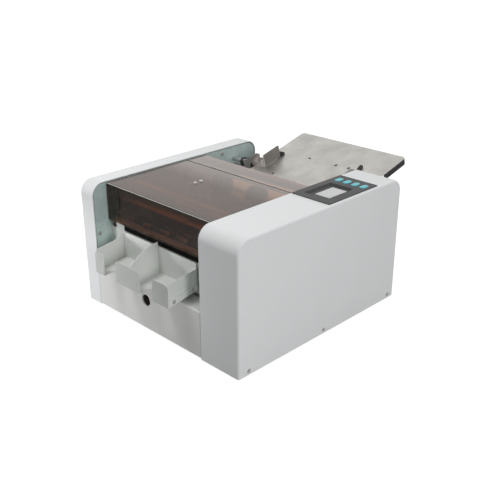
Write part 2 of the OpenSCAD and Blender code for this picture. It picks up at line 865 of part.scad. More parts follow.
// Two domed screws on top of the hood
module hood_screws() {
    color("silver") placed() for (y = hood_screw_y) translate([hood_screw_x, y, hood_top]) {
        intersection() {
            translate([0, 0, -2]) sphere(r = 4.5);
            cylinder(r = 5, h = 4);
        }
        translate([0, 0, -hood_t - 3]) cylinder(r = screw_shank_r, h = hood_t + 3);
    }
}

// ---------------------------------------------------------------- controls

function button_x(i) = panel_mid_x + button_shift + (i - (buttons + 1) / 2) * button_pitch;

// Bezel: a plate on the cheek with a tub below it, a sloped recess and the button holes
module control_bezel() {
    y0 = panel_y0;
    y1 = panel_y0 + panel_d;
    depth = panel_top - recess_floor;
    color("#4a4a4c") placed() difference() {
        union() {
            block([panel_x0, panel_x0 + panel_w], [y0, y1], [body_h, panel_top]);
            block([panel_x0 + tub_inset, panel_x0 + panel_w - tub_inset],
                [y0 + tub_inset, y1 - tub_inset], [tub_z, body_h]);
        }
        intersection() {
            slab_x(panel_mid_x - recess_w, 2 * recess_w) translate([recess_y, recess_floor])
                trapezoid(recess_l - 2 * recess_slope, recess_l, depth);
            slab_y(recess_y - recess_l, 2 * recess_l) translate([recess_x, recess_floor])
                trapezoid(recess_w - 2 * recess_slope, recess_w, depth);
        }
        block([lcd_x - lcd_w / 2, lcd_x + lcd_w / 2],
            [lcd_y - lcd_l / 2, lcd_y + lcd_l / 2], [recess_floor - lcd_t, recess_floor + cut_over]);
        for (i = [1:buttons]) translate([button_x(i), button_y, tub_z - cut_over])
            linear_extrude(panel_top - tub_z + 2) stadium(button_w + 2 * slide_gap, button_l + 2 * slide_gap);
    }
}

// Symmetric trapezoid, a wide below and b wide above, h high; it runs a little past its top
module trapezoid(a, b, h) {
    over = (b - a) / 2 / h;
    polygon([[-a / 2, 0], [a / 2, 0], [b / 2 + over, h + 1], [-b / 2 - over, h + 1]]);
}

module display_screen() {
    color("#d5d7d5") placed() block([lcd_x - lcd_w / 2, lcd_x + lcd_w / 2],
        [lcd_y - lcd_l / 2, lcd_y + lcd_l / 2], [recess_floor - lcd_t, recess_floor]);
}

// Oval push button with a flat cap
module push_button(i) {
    color("#3fc3d8") placed() translate([button_x(i), button_y, 0]) {
        translate([0, 0, button_foot]) linear_extrude(panel_top + button_rise - 0.7 - button_foot)
            stadium(button_w, button_l);
        translate([0, 0, panel_top]) linear_extrude(button_rise) stadium(button_w - 1.4, button_l - 1.4);
    }
}

module button_1() {
    push_button(1);
}

module button_2() {
    push_button(2);
}

module button_3() {
    push_button(3);
}

module button_4() {
    push_button(4);
}

// ---------------------------------------------------------------- paper table

// Puts what is drawn on the table's plane in place: X across, Y up the slope
module on_table() {
    translate([0, table_front_y, table_front_z]) rotate([table_tilt, 0, 0]) children();
}

// Outline of the table: narrow between the cheeks, wide behind them, i is the inset
module table_outline(i) {
    r = table_corner_r - i;
    l = table_len - i;
    x0 = table_left_x + i;
    x1 = table_right_x - i;
    translate([x0, -i]) square([table_narrow_x - i - x0, table_step + 4]);
    translate([x0, table_step + i]) square([x1 - x0, l - r - table_step - i]);
    translate([x0 + r, table_step + i]) square([x1 - x0 - 2 * r, l - table_step - i]);
    translate([x0 + r, l - r]) circle(r);
    translate([x1 - r, l - r]) circle(r);
}

// Stainless sheet with a folded rim on every side but the front and the step over the right cheek
module feed_table() {
    color("#bcb8b2") placed() on_table() difference() {
        translate([0, 0, -table_rim]) linear_extrude(table_rim) table_outline(0);
        translate([0, 0, -table_rim - cut_over]) linear_extrude(table_rim - table_t + cut_over)
            table_outline(table_t);
        translate([0, 0, -table_rim - cut_over]) linear_extrude(table_rim - table_t + cut_over)
            translate([table_left_x + table_t, -cut_over])
                square([table_narrow_x - table_left_x - 2 * table_t, 3 * table_t]);
        translate([table_narrow_x, table_step - cut_over, -table_rim - cut_over])
            cube([table_right_x - table_narrow_x + cut_over, table_bare, table_rim - table_t + cut_over]);
        for (x = table_hole_x)
            translate([x, (table_hole_y - table_front_y) / cos(table_tilt), -table_t - cut_over])
                cylinder(r = table_hole_r, h = table_t + 2);
    }
}

// Posts on the tie bars that carry the table
module table_brackets() {
    color("silver") placed() for (p = [tie_at()[2], tie_at()[3]]) for (x = bracket_x)
        slab_x(x, bracket_w) polygon([
            [p[0] + 1, p[1] + bar_w], [p[0] + bar_w - 1, p[1] + bar_w],
            [p[0] + bar_w - 1, table_under(p[0] + bar_w - 1)], [p[0] + 1, table_under(p[0] + 1)]
        ]);
}

// Sliding left guide: block on the rod, wing with a window, and side plate, square to the table
module left_guide() {
    color("#a8a49e") placed() on_table() difference() {
        union() {
            block(guide_block, [guide_s, rod_s + 8], [rod_h - 8, rod_h + 8]);
            slab_y(guide_s, guide_t) polygon([
                [guide_block[0], rod_h - 8], [guide_block[1], rod_h - 8], [guide_block[1], guide_lift],
                [guide_plate_x, guide_lift], [guide_plate_x, guide_h], [guide_plate_x - 2, guide_h - 5],
                [window_x[0], guide_h - 5], [window_x[0], guide_h + 2], [wing_peak_x, guide_h + 2.6],
                [guide_block[0] + 11, 6], [guide_block[0], 4]
            ]);
            slab_x(guide_plate_x - guide_t, guide_t) polygon([
                [guide_s, guide_lift], [guide_s + guide_l, guide_lift],
                [guide_s + guide_l, guide_h - 2], [guide_s + guide_l - 2, guide_h], [guide_s, guide_h]
            ]);
        }
        block(window_x, [guide_s - cut_over, guide_s + guide_t + cut_over], window_h);
        rod_x(guide_block[0] - cut_over, guide_block[1] + cut_over, rod_s, rod_h, rod_r + run_gap);
    }
}

// Rubber block at the rear end of the left guide, just above the table
module left_guide_tip() {
    s = guide_s + guide_l;
    color("#181818") placed() on_table() slab_x(guide_plate_x - 10, 10) polygon([
        [s, guide_lift], [s + 14, guide_lift], [s + 14, 3], [s + 4, 9], [s, 9]
    ]);
}

// Clamping knob of the left guide, a fluted nut round the rod
module guide_knob() {
    x1 = guide_block[0] - knob_gap;
    color("#1a1a1a") placed() difference() {
        rod_x(x1 - knob_w, x1, rod_y, rod_z, knob_r);
        rod_x(x1 - knob_w - cut_over, x1 + cut_over, rod_y, rod_z, rod_r + run_gap);
        for (a = [0:45:315]) translate([0, rod_y, rod_z]) rotate([a, 0, 0])
            rod_x(x1 - knob_w - cut_over, x1 - 2, knob_r + 0.8, 0, 1.6);
    }
}

module guide_rod() {
    color("silver") placed() rod_x(left_x, table_left_x, rod_y, rod_z, rod_r);
}

// Fixed right guide beside the cheek, an angle screwed to the table; it gets lower to the rear
module right_guide() {
    s = right_guide_s;
    color("#a8a49e") placed() on_table() {
        slab_x(right_guide_x - guide_t, guide_t) polygon([[s[0], 0], [s[1], 0], [s[1], 2], [s[0], 12]]);
        block([right_guide_x - right_guide_foot, right_guide_x - guide_t], s, [0, guide_t]);
    }
}

// Rubber wedge behind the right guide
module right_guide_tip() {
    s = right_guide_s[1];
    color("#181818") placed() on_table() slab_x(right_guide_x - 10, 10) polygon([
        [s, guide_lift], [s + 12, guide_lift], [s + 12, 5.5], [s, 1.5]
    ]);
}

// ---------------------------------------------------------------- rollers and blades

// Involute of a circle: polar angle in degrees at radius r, for the base radius b
function involute(r, b) = r <= b ? 0 : (sqrt(r * r / b / b - 1) * 180 / PI - acos(b / r));

// Spur gear outline with involute flanks; n teeth of module m, a little backlash
module gear_outline(n, m, turn = 0) {
    pitch = n * m / 2;
    base = pitch * cos(20);
    tip = pitch + 0.9 * m;
    root = pitch - 1.2 * m;
    half = 90 / n - 0.12 / pitch * 180 / PI + involute(pitch, base);
    radii = [root, for (k = [0:3]) base + (tip - base) * k / 3];
    polygon([
        for (i = [0:n - 1]) each concat(
            [for (r = radii) polar(r, turn + i * 360 / n - half + involute(r, base))],
            [for (k = [len(radii) - 1:-1:0]) polar(radii[k], turn + i * 360 / n + half - involute(radii[k], base))]
        )
    ]);
}

function polar(r, a) = [r * cos(a), r * sin(a)];

// Gear with its boss on a shaft along X
module gear_on(y, z, n, m, turn) {
    slab_x(gear_x, gear_w) translate([y, z]) gear_outline(n, m, turn);
}

// Pulley with two low flanges
module pulley_on(x, y, z, r) {
    rod_x(x, x + pulley_w, y, z, r);
}

// Shaft of the feed rollers with its pulley
module feed_shaft() {
    color("silver") placed() {
        rod_x(shaft_left_x, pulley_x + pulley_w, feed_y, feed_z, shaft_r);
        pulley_on(pulley_x, feed_y, feed_z, feed_pulley_r);
    }
}

// Rubber tyre with shallow grooves along X, pressed on a shaft
module grooved_tyre(x, y, z, r, w) {
    difference() {
        rod_x(x - w / 2, x + w / 2, y, z, r);
        rod_x(x - w / 2 - cut_over, x + w / 2 + cut_over, y, z, shaft_r);
        for (a = [0:30:330]) translate([0, y, z]) rotate([a, 0, 0])
            rod_x(x - w / 2 - cut_over, x + w / 2 + cut_over, r + 0.6, 0, 1.5);
    }
}

module feed_rollers() {
    color("#2c2c2c") placed() for (x = feed_roller_x) grooved_tyre(x, feed_y, feed_z, feed_r, feed_roller_w);
}

// Block on a tie bar that carries the friction pad
module separator_block() {
    color("#7c8280") placed() block(separator_x, [feed_y - 7, feed_y + 6],
        [separator_bar_z + bar_w, pad_top - pad_h]);
}

module separator_pad() {
    color("#3a2a24") placed() block(separator_x, [feed_y - 5, feed_y + 5], [pad_top - pad_h, pad_top]);
}

// Slitting shafts: each pair of blades shears at the lines in slit_x
module slitter_upper_shaft() {
    color("silver") placed() {
        rod_x(shaft_left_x, pulley_x + pulley_w, slitter_y, slitter_high_z, shaft_r);
        gear_on(slitter_y, slitter_high_z, slitter_teeth, slitter_gear_m, 180 / slitter_teeth);
        pulley_on(pulley_x, slitter_y, slitter_high_z, upper_pulley_r);
    }
}

module slitter_lower_shaft() {
    color("silver") placed() {
        rod_x(shaft_left_x, pulley_2_x + pulley_w, slitter_y, slitter_low_z, shaft_r);
        gear_on(slitter_y, slitter_low_z, slitter_teeth, slitter_gear_m, 0);
        pulley_on(pulley_x, slitter_y, slitter_low_z, slitter_pulley_r);
        pulley_on(pulley_2_x, slitter_y, slitter_low_z, slitter_pulley_2_r);
    }
}

// Disc blade with its clamping hub; s says on which side of the line the hub lies
module slit_blade(x, z, s) {
    disc = s > 0 ? [x + blade_gap / 2, x + blade_gap / 2 + blade_t] : [x - blade_gap / 2 - blade_t, x - blade_gap / 2];
    hub = s > 0 ? [disc[1], disc[1] + blade_hub_w] : [disc[0] - blade_hub_w, disc[0]];
    difference() {
        union() {
            rod_x(disc[0], disc[1], slitter_y, z, blade_r);
            rod_x(hub[0], hub[1], slitter_y, z, blade_hub_r);
        }
        rod_x(x - 20, x + 20, slitter_y, z, shaft_r);
    }
}

module slitter_upper_blades() {
    color("#9aa0a4") placed() for (i = [0:3]) slit_blade(slit_x[i], slitter_high_z, slit_side[i]);
}

module slitter_lower_blades() {
    color("#9aa0a4") placed() for (i = [0:3]) slit_blade(slit_x[i], slitter_low_z, -slit_side[i]);
}

// ---------------------------------------------------------------- chopping knife

// Fixed lower knife: a bar across the machine with a foot and a paper lip
module knife_bed() {
    color("#868c90") placed() {
        slab_x(left_x, span) polygon([
            [knife_y, bed_foot_z], [knife_y, bed_top], [knife_y + bed_d + bed_lip, bed_top],
            [knife_y + bed_d + bed_lip, bed_top - 3], [knife_y + bed_d, bed_top - 3],
            [knife_y + bed_d, bed_foot_z]
        ]);
        block([post_x[0] - 12, post_x[1] + 12], [post_y - 8, knife_y + 1], [bed_foot_z, bed_foot_z + 8]);
    }
}

// Two round posts that guide the knife, and the bridge over them
module knife_posts() {
    color("#b8bcc0") placed() {
        for (x = post_x) translate([x, post_y, bed_foot_z + 8]) cylinder(r = post_r, h = post_top - bed_foot_z - 8);
        block([post_x[0] - 8, post_x[1] + 8], [post_y - 7, post_y + 7], [post_top, post_top + 5]);
    }
}

// Moving knife: carriage bar on the posts, blade plate and the two cam yokes
module knife_carriage() {
    z0 = carriage_z;
    yoke_y0 = cam_y - yoke_half - 5;
    yoke_top = cam_z + yoke_half + knife_travel + 4;
    color("#6c7276") placed() difference() {
        union() {
            block(carriage_x, [post_y - carriage_d / 2, post_y + carriage_d / 2], [z0, z0 + carriage_h]);
            block([carriage_x[0] + 8, carriage_x[1] - 8],
                [post_y + carriage_d / 2, post_y + carriage_d / 2 + blade_plate_t], [bed_top + knife_rest, z0 + carriage_h]);
            for (x = [carriage_x[0], carriage_x[1] - yoke_t])
                block([x, x + yoke_t], [yoke_y0, post_y], [cam_z - yoke_half - 5, yoke_top]);
        }
        for (x = post_x) translate([x, post_y, z0 - cut_over])
            cylinder(r = post_r + run_gap, h = carriage_h + 2);
        block([carriage_x[0] - cut_over, carriage_x[1] + cut_over], [cam_y - yoke_half, cam_y + yoke_half],
            [cam_z - yoke_half, cam_z + yoke_half + knife_travel]);
    }
}

// Shaft with an eccentric inside each yoke
module knife_shaft() {
    color("silver") placed() {
        rod_x(left_x - frame_t - knife_motor_len + 4, right_x + frame_t + 2, cam_y, cam_z, shaft_r);
        for (x = [carriage_x[0] + yoke_t / 2, carriage_x[1] - yoke_t / 2])
            rod_x(x - cam_w / 2, x + cam_w / 2, cam_y, cam_z + cam_throw, cam_r);
    }
}

// ---------------------------------------------------------------- delivery and drive

module delivery_upper_shaft() {
    color("silver") placed() {
        rod_x(shaft_left_x, gear_x + gear_w, delivery_y, delivery_high_z, shaft_r);
        gear_on(delivery_y, delivery_high_z, delivery_teeth, delivery_gear_m, 180 / delivery_teeth);
    }
}

module delivery_lower_shaft() {
    color("silver") placed() {
        rod_x(shaft_left_x, pulley_2_x + pulley_w, delivery_y, delivery_low_z, shaft_r);
        gear_on(delivery_y, delivery_low_z, delivery_teeth, delivery_gear_m, 0);
        pulley_on(pulley_2_x, delivery_y, delivery_low_z, delivery_pulley_r);
    }
}

module tyre(x, y, z, r, w) {
    difference() {
        rod_x(x - w / 2, x + w / 2, y, z, r);
        rod_x(x - w / 2 - cut_over, x + w / 2 + cut_over, y, z, shaft_r);
    }
}

module delivery_upper_rollers() {
    color("#2c2c2c") placed() for (x = delivery_roller_x)
        tyre(x, delivery_y, delivery_high_z, delivery_r, delivery_roller_w);
}

module delivery_lower_rollers() {
    color("#2c2c2c") placed() for (x = delivery_roller_x)
        tyre(x, delivery_y, delivery_low_z, delivery_r, delivery_roller_w);
}

// Flanged bushes, one in each frame plate for every shaft
module shaft_bearings() {
    color("#b08d57") placed() for (p = shafts()) difference() {
        union() {
            rod_x(left_x - frame_t, left_x, p[0], p[1], bearing_r);
            rod_x(left_x, left_x + bearing_flange_t, p[0], p[1], bearing_flange_r);
            rod_x(right_x, right_x + frame_t, p[0], p[1], bearing_r);
            rod_x(right_x - bearing_flange_t, right_x, p[0], p[1], bearing_flange_r);
        }
        rod_x(left_x - frame_t - cut_over, right_x + frame_t + cut_over, p[0], p[1], shaft_r + run_gap);
    }
}

// Main motor on the right frame plate and the knife's gear motor on the left one
module motors() {
    color("#707478") placed() {
        difference() {
            union() {
                rod_x(right_x - motor_len, right_x, motor_y, motor_z, motor_r);
                rod_x(right_x, right_x + frame_t, motor_y, motor_z, shaft_r + 2);
            }
            rod_x(right_x - motor_len + 8, right_x + frame_t + cut_over, motor_y, motor_z, shaft_r + run_gap);
            rod_x(rotor_x[0] - rotor_gap, rotor_x[1] + rotor_gap, motor_y, motor_z, rotor_r + rotor_gap);
        }
        difference() {
            rod_x(left_x - frame_t - knife_motor_len, left_x - frame_t, cam_y, cam_z, knife_motor_r);
            rod_x(left_x - frame_t - knife_motor_len + 3, left_x, cam_y, cam_z, shaft_r + run_gap);
        }
    }
}

// Rotor of the main motor, with its shaft and pulley
module motor_pulley() {
    color("silver") placed() {
        rod_x(rotor_x[0], rotor_x[1], motor_y, motor_z, rotor_r);
        rod_x(right_x - motor_len + 8, pulley_x + pulley_w, motor_y, motor_z, shaft_r);
        pulley_on(pulley_x, motor_y, motor_z, motor_pulley_r);
    }
}

// Outline of a belt's side at a height g above its two pulleys, p and q, each [y, z, radius]
function belt_line(p, q, g) = let (
    dist = norm([q[0] - p[0], q[1] - p[1]]),
    aim = atan2(q[1] - p[1], q[0] - p[0]),
    lean = acos((p[2] - q[2]) / dist),
    steps = 24
) concat(
    [for (i = [0:steps]) [p[0], p[1]] + polar(p[2] + g, aim + lean + (360 - 2 * lean) * i / steps)],
    [for (i = [0:steps]) [q[0], q[1]] + polar(q[2] + g, aim - lean + 2 * lean * i / steps)]
);

// Closed belt round two pulleys
module belt_loop(x, p, q) {
    slab_x(x, belt_w) difference() {
        polygon(belt_line(p, q, belt_gap + belt_t));
        polygon(belt_line(p, q, belt_gap));
    }
}

module drive_belts() {
    x = pulley_x + (pulley_w - belt_w) / 2;
    x2 = pulley_2_x + (pulley_w - belt_w) / 2;
    color("#242424") placed() {
        belt_loop(x, [slitter_y, slitter_low_z, slitter_pulley_r], [motor_y, motor_z, motor_pulley_r]);
        belt_loop(x, [slitter_y, slitter_high_z, upper_pulley_r], [feed_y, feed_z, feed_pulley_r]);
        belt_loop(x2, [slitter_y, slitter_low_z, slitter_pulley_2_r], [delivery_y, delivery_low_z, delivery_pulley_r]);
    }
}

// Caged power supply on the base plate, below the drive
module power_supply() {
    x0 = right_x + frame_t + frame_flange + 2;
    y0 = front_y + 55;
    color("#a8acae") placed() difference() {
        block([x0, base_x - base_t - 2], [y0, y0 + supply_d], [base_top, base_top + supply_h]);
        for (i = [0:6]) let (y = y0 + 5 + i * 11)
            block([x0 - cut_over, base_x], [y, y + 4], [base_top + 12, base_top + supply_h - 10]);
    }
}

base_plate();
left_frame_plate();
right_frame_plate();
left_cover();
right_cover();
cover_screws();
frame_screws();
rubber_feet();
rear_panel();
power_inlet();
power_switch();
tie_bars();
front_fascia();
drawer_front();
drawer_pan();
tray_floor();
tray_side_walls();
tray_back_wall();
tray_divider();
tray_screws();
hood();
hood_hinge_rod();
hood_rear_strip();
hood_magnet_bracket();
hood_screws();
control_bezel();
display_screen();
button_1();
button_2();
button_3();
button_4();
feed_table();
table_brackets();
left_guide();
left_guide_tip();
guide_knob();
guide_rod();
right_guide();
right_guide_tip();
feed_shaft();
feed_rollers();
separator_block();
separator_pad();
slitter_upper_shaft();
slitter_upper_blades();
slitter_lower_shaft();
slitter_lower_blades();
knife_bed();
knife_posts();
knife_carriage();
knife_shaft();
delivery_upper_shaft();
delivery_upper_rollers();
delivery_lower_shaft();
delivery_lower_rollers();
shaft_bearings();
motors();
motor_pulley();
drive_belts();
power_supply();
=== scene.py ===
import math

import bmesh
import bpy
from mathutils import Matrix, Vector


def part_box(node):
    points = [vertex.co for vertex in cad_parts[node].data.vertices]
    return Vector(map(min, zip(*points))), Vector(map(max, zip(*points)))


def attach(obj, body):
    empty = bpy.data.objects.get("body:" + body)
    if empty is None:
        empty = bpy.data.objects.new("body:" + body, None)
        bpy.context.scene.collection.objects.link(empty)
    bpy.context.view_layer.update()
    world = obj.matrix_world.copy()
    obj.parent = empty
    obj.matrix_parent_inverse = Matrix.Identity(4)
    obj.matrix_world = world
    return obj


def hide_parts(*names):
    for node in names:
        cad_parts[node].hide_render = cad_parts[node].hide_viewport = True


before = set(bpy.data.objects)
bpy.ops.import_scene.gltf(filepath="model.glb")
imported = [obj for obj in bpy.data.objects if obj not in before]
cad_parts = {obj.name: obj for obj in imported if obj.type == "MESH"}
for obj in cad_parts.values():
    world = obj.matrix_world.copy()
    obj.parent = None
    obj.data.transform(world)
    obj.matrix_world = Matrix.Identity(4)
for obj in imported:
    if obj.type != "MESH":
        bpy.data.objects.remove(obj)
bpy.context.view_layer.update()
scene = bpy.context.scene
scene.view_settings.view_transform = "Standard"

# -------- camera
# Stands to the right of the card trays and looks down on the machine by 23 degrees.

camera_data = bpy.data.cameras.new("camera")
camera_data.lens = 57.312
camera_data.sensor_width = 36.0
camera_data.clip_start = 0.05
camera_data.clip_end = 40.0
camera = bpy.data.objects.new("camera", camera_data)
scene.collection.objects.link(camera)
camera.matrix_world = Matrix((
    (0.70411722, -0.27550767, 0.65445737, 0.9166023),
    (0.71006554, 0.27978654, -0.64616284, -0.929717),
    (-0.00508554, 0.91968202, 0.39263103, 0.668564),
    (0.0, 0.0, 0.0, 1.0),
))
scene.camera = camera

# -------- base plate, tie bars, brackets
# Folded zinc-plated sheet and bright square bars carry everything. All pieces are drawn
# in millimetres from the middle of the cheeks' lower edge and moved into the frame at the end.

cheek_lo, cheek_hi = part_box("right_cover")
to_frame = Matrix.Translation((0, (cheek_lo.y + cheek_hi.y) / 2, cheek_lo.z)) @ Matrix.Scale(0.001, 4)


def fill(node, values):
    """Links or sets a node's inputs."""
    for key, value in values.items():
        if isinstance(value, bpy.types.NodeSocket):
            node.id_data.links.new(value, node.inputs[key])
        else:
            node.inputs[key].default_value = value


def put(tree, kind, values=None, **settings):
    node = tree.nodes.new("ShaderNode" + kind)
    for key, value in settings.items():
        setattr(node, key, value)
    fill(node, values or {})
    return node


def maths(tree, operation, a, b=0.0):
    return put(tree, "Math", {0: a, 1: b}, operation=operation).outputs[0]


def mixed(tree, factor, a, b, mode="MIX"):
    return put(tree, "Mix", {0: factor, 6: a, 7: b}, data_type="RGBA", blend_type=mode).outputs[2]


def ranged(tree, value, low, high, to_low=0.0, to_high=1.0):
    values = {"Value": value, "From Min": low, "From Max": high, "To Min": to_low, "To Max": to_high}
    return put(tree, "MapRange", values).outputs[0]


def noise(tree, vector, scale, detail=2.0, roughness=0.5):
    values = {"Vector": vector, "Scale": scale, "Detail": detail, "Roughness": roughness}
    return put(tree, "TexNoise", values).outputs["Fac"]


def new_group(name, inputs, outputs):
    group = bpy.data.node_groups.new(name, "ShaderNodeTree")
    for label, kind, value in inputs:
        group.interface.new_socket(name=label, in_out="INPUT", socket_type="NodeSocket" + kind).default_value = value
    for label, kind in outputs:
        group.interface.new_socket(name=label, in_out="OUTPUT", socket_type="NodeSocket" + kind)
    return group, group.nodes.new("NodeGroupInput").outputs, group.nodes.new("NodeGroupOutput")


def use_group(tree, group, values):
    return put(tree, "Group", values, node_tree=group).outputs


def object_coordinates(tree):
    return put(tree, "TexCoord").outputs["Object"]


def object_axes(tree):
    return put(tree, "SeparateXYZ", {0: object_coordinates(tree)}).outputs


# Slow change of tone over a surface, such as handled paint or rolled sheet shows
tone_patches, given, result = new_group(
    "tone_patches",
    [("Color", "Color", (0.5, 0.5, 0.5, 1)), ("Scale", "Float", 12.0), ("Amount", "Float", 0.05)],
    [("Color", "Color"), ("Mask", "Float")],
)
cloud = noise(tone_patches, object_coordinates(tone_patches), given["Scale"], 3.0, 0.6)
cloud = ranged(tone_patches, cloud, 0.3, 0.7)
dark = maths(tone_patches, "SUBTRACT", 1.0, given["Amount"])
light = maths(tone_patches, "ADD", 1.0, given["Amount"])
factor = maths(tone_patches, "ADD", dark, maths(tone_patches, "MULTIPLY", cloud, maths(
    tone_patches, "SUBTRACT", light, dark)))
grey = put(tone_patches, "CombineColor", {0: factor, 1: factor, 2: factor}).outputs[0]
fill(result, {"Color": mixed(tone_patches, 1.0, given["Color"], grey, "MULTIPLY"), "Mask": cloud})

# Lighter or barer edges: partly wear, where a coating thins out or a cut edge shows, and partly a painted highlight
# along every rounded edge
worn_and_lit_edges, given, result = new_group(
    "worn_and_lit_edges",
    [("Color", "Color", (0.5, 0.5, 0.5, 1)), ("Edge", "Color", (0.8, 0.8, 0.8, 1)),
     ("Radius", "Float", 0.0006), ("Strength", "Float", 0.5)],
    [("Color", "Color"), ("Mask", "Float")],
)
rounded = put(worn_and_lit_edges, "Bevel", {"Radius": given["Radius"]}, samples=4).outputs[0]
straight = put(worn_and_lit_edges, "NewGeometry").outputs["Normal"]
agree = put(worn_and_lit_edges, "VectorMath", {0: rounded, 1: straight}, operation="DOT_PRODUCT").outputs["Value"]
edge = ranged(worn_and_lit_edges, maths(worn_and_lit_edges, "SUBTRACT", 1.0, agree), 0.01, 0.16)
broken = ranged(worn_and_lit_edges, noise(worn_and_lit_edges, object_coordinates(worn_and_lit_edges), 90.0, 3.0), 0.35, 0.6, 0.55, 1.0)
mask = maths(worn_and_lit_edges, "MULTIPLY", maths(worn_and_lit_edges, "MULTIPLY", edge, broken), given["Strength"])
fill(result, {"Color": mixed(worn_and_lit_edges, mask, given["Color"], given["Edge"]), "Mask": mask})

# Lines left by rolling, grinding or turning: the noise is drawn out along one direction
tool_lines, given, result = new_group(
    "tool_lines",
    [("Stretch", "Vector", (1, 1, 1)), ("Scale", "Float", 200.0)],
    [("Lines", "Float"), ("Fine", "Float")],
)
drawn = put(tool_lines, "VectorMath", {0: object_coordinates(tool_lines), 1: given["Stretch"]},
            operation="MULTIPLY").outputs[0]
streaks = noise(tool_lines, drawn, given["Scale"], 4.0, 0.7)
finer = maths(tool_lines, "MULTIPLY", given["Scale"], 3.1)
fill(result, {"Lines": ranged(tool_lines, streaks, 0.3, 0.7), "Fine": noise(tool_lines, drawn, finer, 2.0)})

# Fine even grain of a powder coat or of a spark-eroded mould
fine_grain, given, result = new_group(
    "fine_grain", [("Scale", "Float", 900.0)], [("Height", "Float"), ("Speckle", "Float")])
place = object_coordinates(fine_grain)
cells = put(fine_grain, "TexVoronoi", {"Vector": place, "Scale": given["Scale"]}, feature="SMOOTH_F1").outputs[0]
dots = noise(fine_grain, place, given["Scale"], 1.0)
fill(result, {"Height": cells, "Speckle": ranged(fine_grain, dots, 0.4, 0.7)})


def new_material(name):
    material = bpy.data.materials.new(name)
    material.use_nodes = True
    return material, material.node_tree, material.node_tree.nodes["Principled BSDF"]


def toned(tree, colour, scale, amount):
    return use_group(tree, tone_patches, {"Color": (*colour, 1), "Scale": scale, "Amount": amount})


def raised(tree, height, strength):
    return put(tree, "Bump", {"Height": height, "Strength": strength, "Distance": 0.0002}).outputs[0]


def coated(name, colour, roughness, grain, bump, patches, edge, wear_and_light, speckle=0.02, specular=0.5):
    """Paint, powder coat or moulded plastic: a colour with slow patches, fine grain and lighter edges (partly wear,
    partly painted highlight).
    """
    material, tree, shader = new_material(name)
    tone = toned(tree, colour, *patches)
    worn_lit = use_group(tree, worn_and_lit_edges, {"Color": tone["Color"], "Edge": (*edge, 1), "Strength": wear_and_light})
    fine = use_group(tree, fine_grain, {"Scale": grain})
    dot = maths(tree, "MULTIPLY", fine["Speckle"], speckle)
    fill(shader, {"Base Color": mixed(tree, dot, worn_lit["Color"], (0.05, 0.05, 0.05, 1)),
                  "Roughness": ranged(tree, tone["Mask"], 0.0, 1.0, roughness - 0.04, roughness + 0.05),
                  "Normal": raised(tree, fine["Height"], bump), "Specular IOR Level": specular})
    return material


def metal(name, colour, roughness, stretch, scale, lines, bump=0.1, patches=(14.0, 0.05), wear_and_light=0.4,
          edge=(0.85, 0.85, 0.84), metallic=1.0):
    """Bare metal: a colour with drawn-out tool lines, soft blotches and brighter edges (partly wear, partly painted
    highlight).
    """
    material, tree, shader = new_material(name)
    tone = toned(tree, colour, *patches)
    cut = use_group(tree, tool_lines, {"Stretch": stretch, "Scale": scale})
    shade = maths(tree, "MULTIPLY", cut["Lines"], lines)
    lined = mixed(tree, shade, tone["Color"], tuple(c * 0.35 for c in colour) + (1,))
    worn_lit = use_group(tree, worn_and_lit_edges, {"Color": lined, "Edge": (*edge, 1), "Strength": wear_and_light})
    rough = maths(tree, "ADD", maths(tree, "MULTIPLY", tone["Mask"], 0.08), maths(
        tree, "MULTIPLY", cut["Fine"], 0.12))
    fill(shader, {"Base Color": worn_lit["Color"], "Roughness": maths(tree, "ADD", rough, roughness - 0.1),
                  "Normal": raised(tree, cut["Lines"], bump), "Metallic": metallic})
    return material


def tint(tree, factor, colour):
    """Lays one more colour over a material's base colour."""
    base = tree.nodes["Principled BSDF"].inputs["Base Color"]
    tree.links.new(mixed(tree, factor, base.links[0].from_socket, colour), base)


def dress(material, *nodes):
    """Gives CAD nodes that stay in view their material."""
    for node in nodes:
        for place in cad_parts[node].material_slots:
            place.material = material


zinc_sheet = metal("zinc_sheet", (0.56, 0.57, 0.57), 0.42, (1, 1, 1), 60.0, 0.10, 0.05, (26.0, 0.10))
bright_bar = metal("bright_bar", (0.62, 0.62, 0.61), 0.34, (0.04, 1, 1), 300.0, 0.14)
dress(zinc_sheet, "base_plate", "table_brackets", "drawer_pan", "separator_block", "power_supply",
      "hood_magnet_bracket")
dress(bright_bar, "tie_bars", "guide_rod", "hood_hinge_rod", "knife_posts")

# -------- frame plates and fascia
# Two 3 mm steel plates carry the shafts, painted a smooth grey-green; the fascia between
# them is thin light grey sheet with the card slot.

plate_paint = coated("plate_paint", (0.45, 0.555, 0.535), 0.26, 500.0, 0.04, (16.0, 0.10), (0.55, 0.6, 0.58), 0.5)
dress(plate_paint, "left_frame_plate", "right_frame_plate")
sheet_paint = coated("sheet_paint", (0.60, 0.625, 0.60), 0.40, 900.0, 0.06, (12.0, 0.03), (0.86, 0.87, 0.85), 0.6)
dress(sheet_paint, "front_fascia")

# -------- cheek covers
# Deep-folded 2 mm steel covers with round upper corners and a 4 mm bend along the rim,
# powder-coated off-white. The right one is cut out for the control panel.


def make_piece(name, bm, material, inside=None, place=Matrix()):
    """Moves a bmesh to its place in the casing and makes it an object whose faces look away from inside."""
    bmesh.ops.transform(bm, matrix=place, verts=bm.verts)
    bmesh.ops.remove_doubles(bm, verts=bm.verts, dist=0.001)
    bmesh.ops.recalc_face_normals(bm, faces=bm.faces)
    if inside is not None:
        centre = Vector(inside)
        outward = sum((f.calc_center_median() - centre).dot(f.normal) * f.calc_area() for f in bm.faces)
        if outward < 0:
            bmesh.ops.reverse_faces(bm, faces=bm.faces)
    bmesh.ops.transform(bm, matrix=to_frame, verts=bm.verts)
    mesh = bpy.data.meshes.new(name)
    bm.to_mesh(mesh)
    bm.free()
    mesh.materials.append(material)
    for face in mesh.polygons:
        face.use_smooth = True
    piece = bpy.data.objects.new(name, mesh)
    scene.collection.objects.link(piece)
    return piece


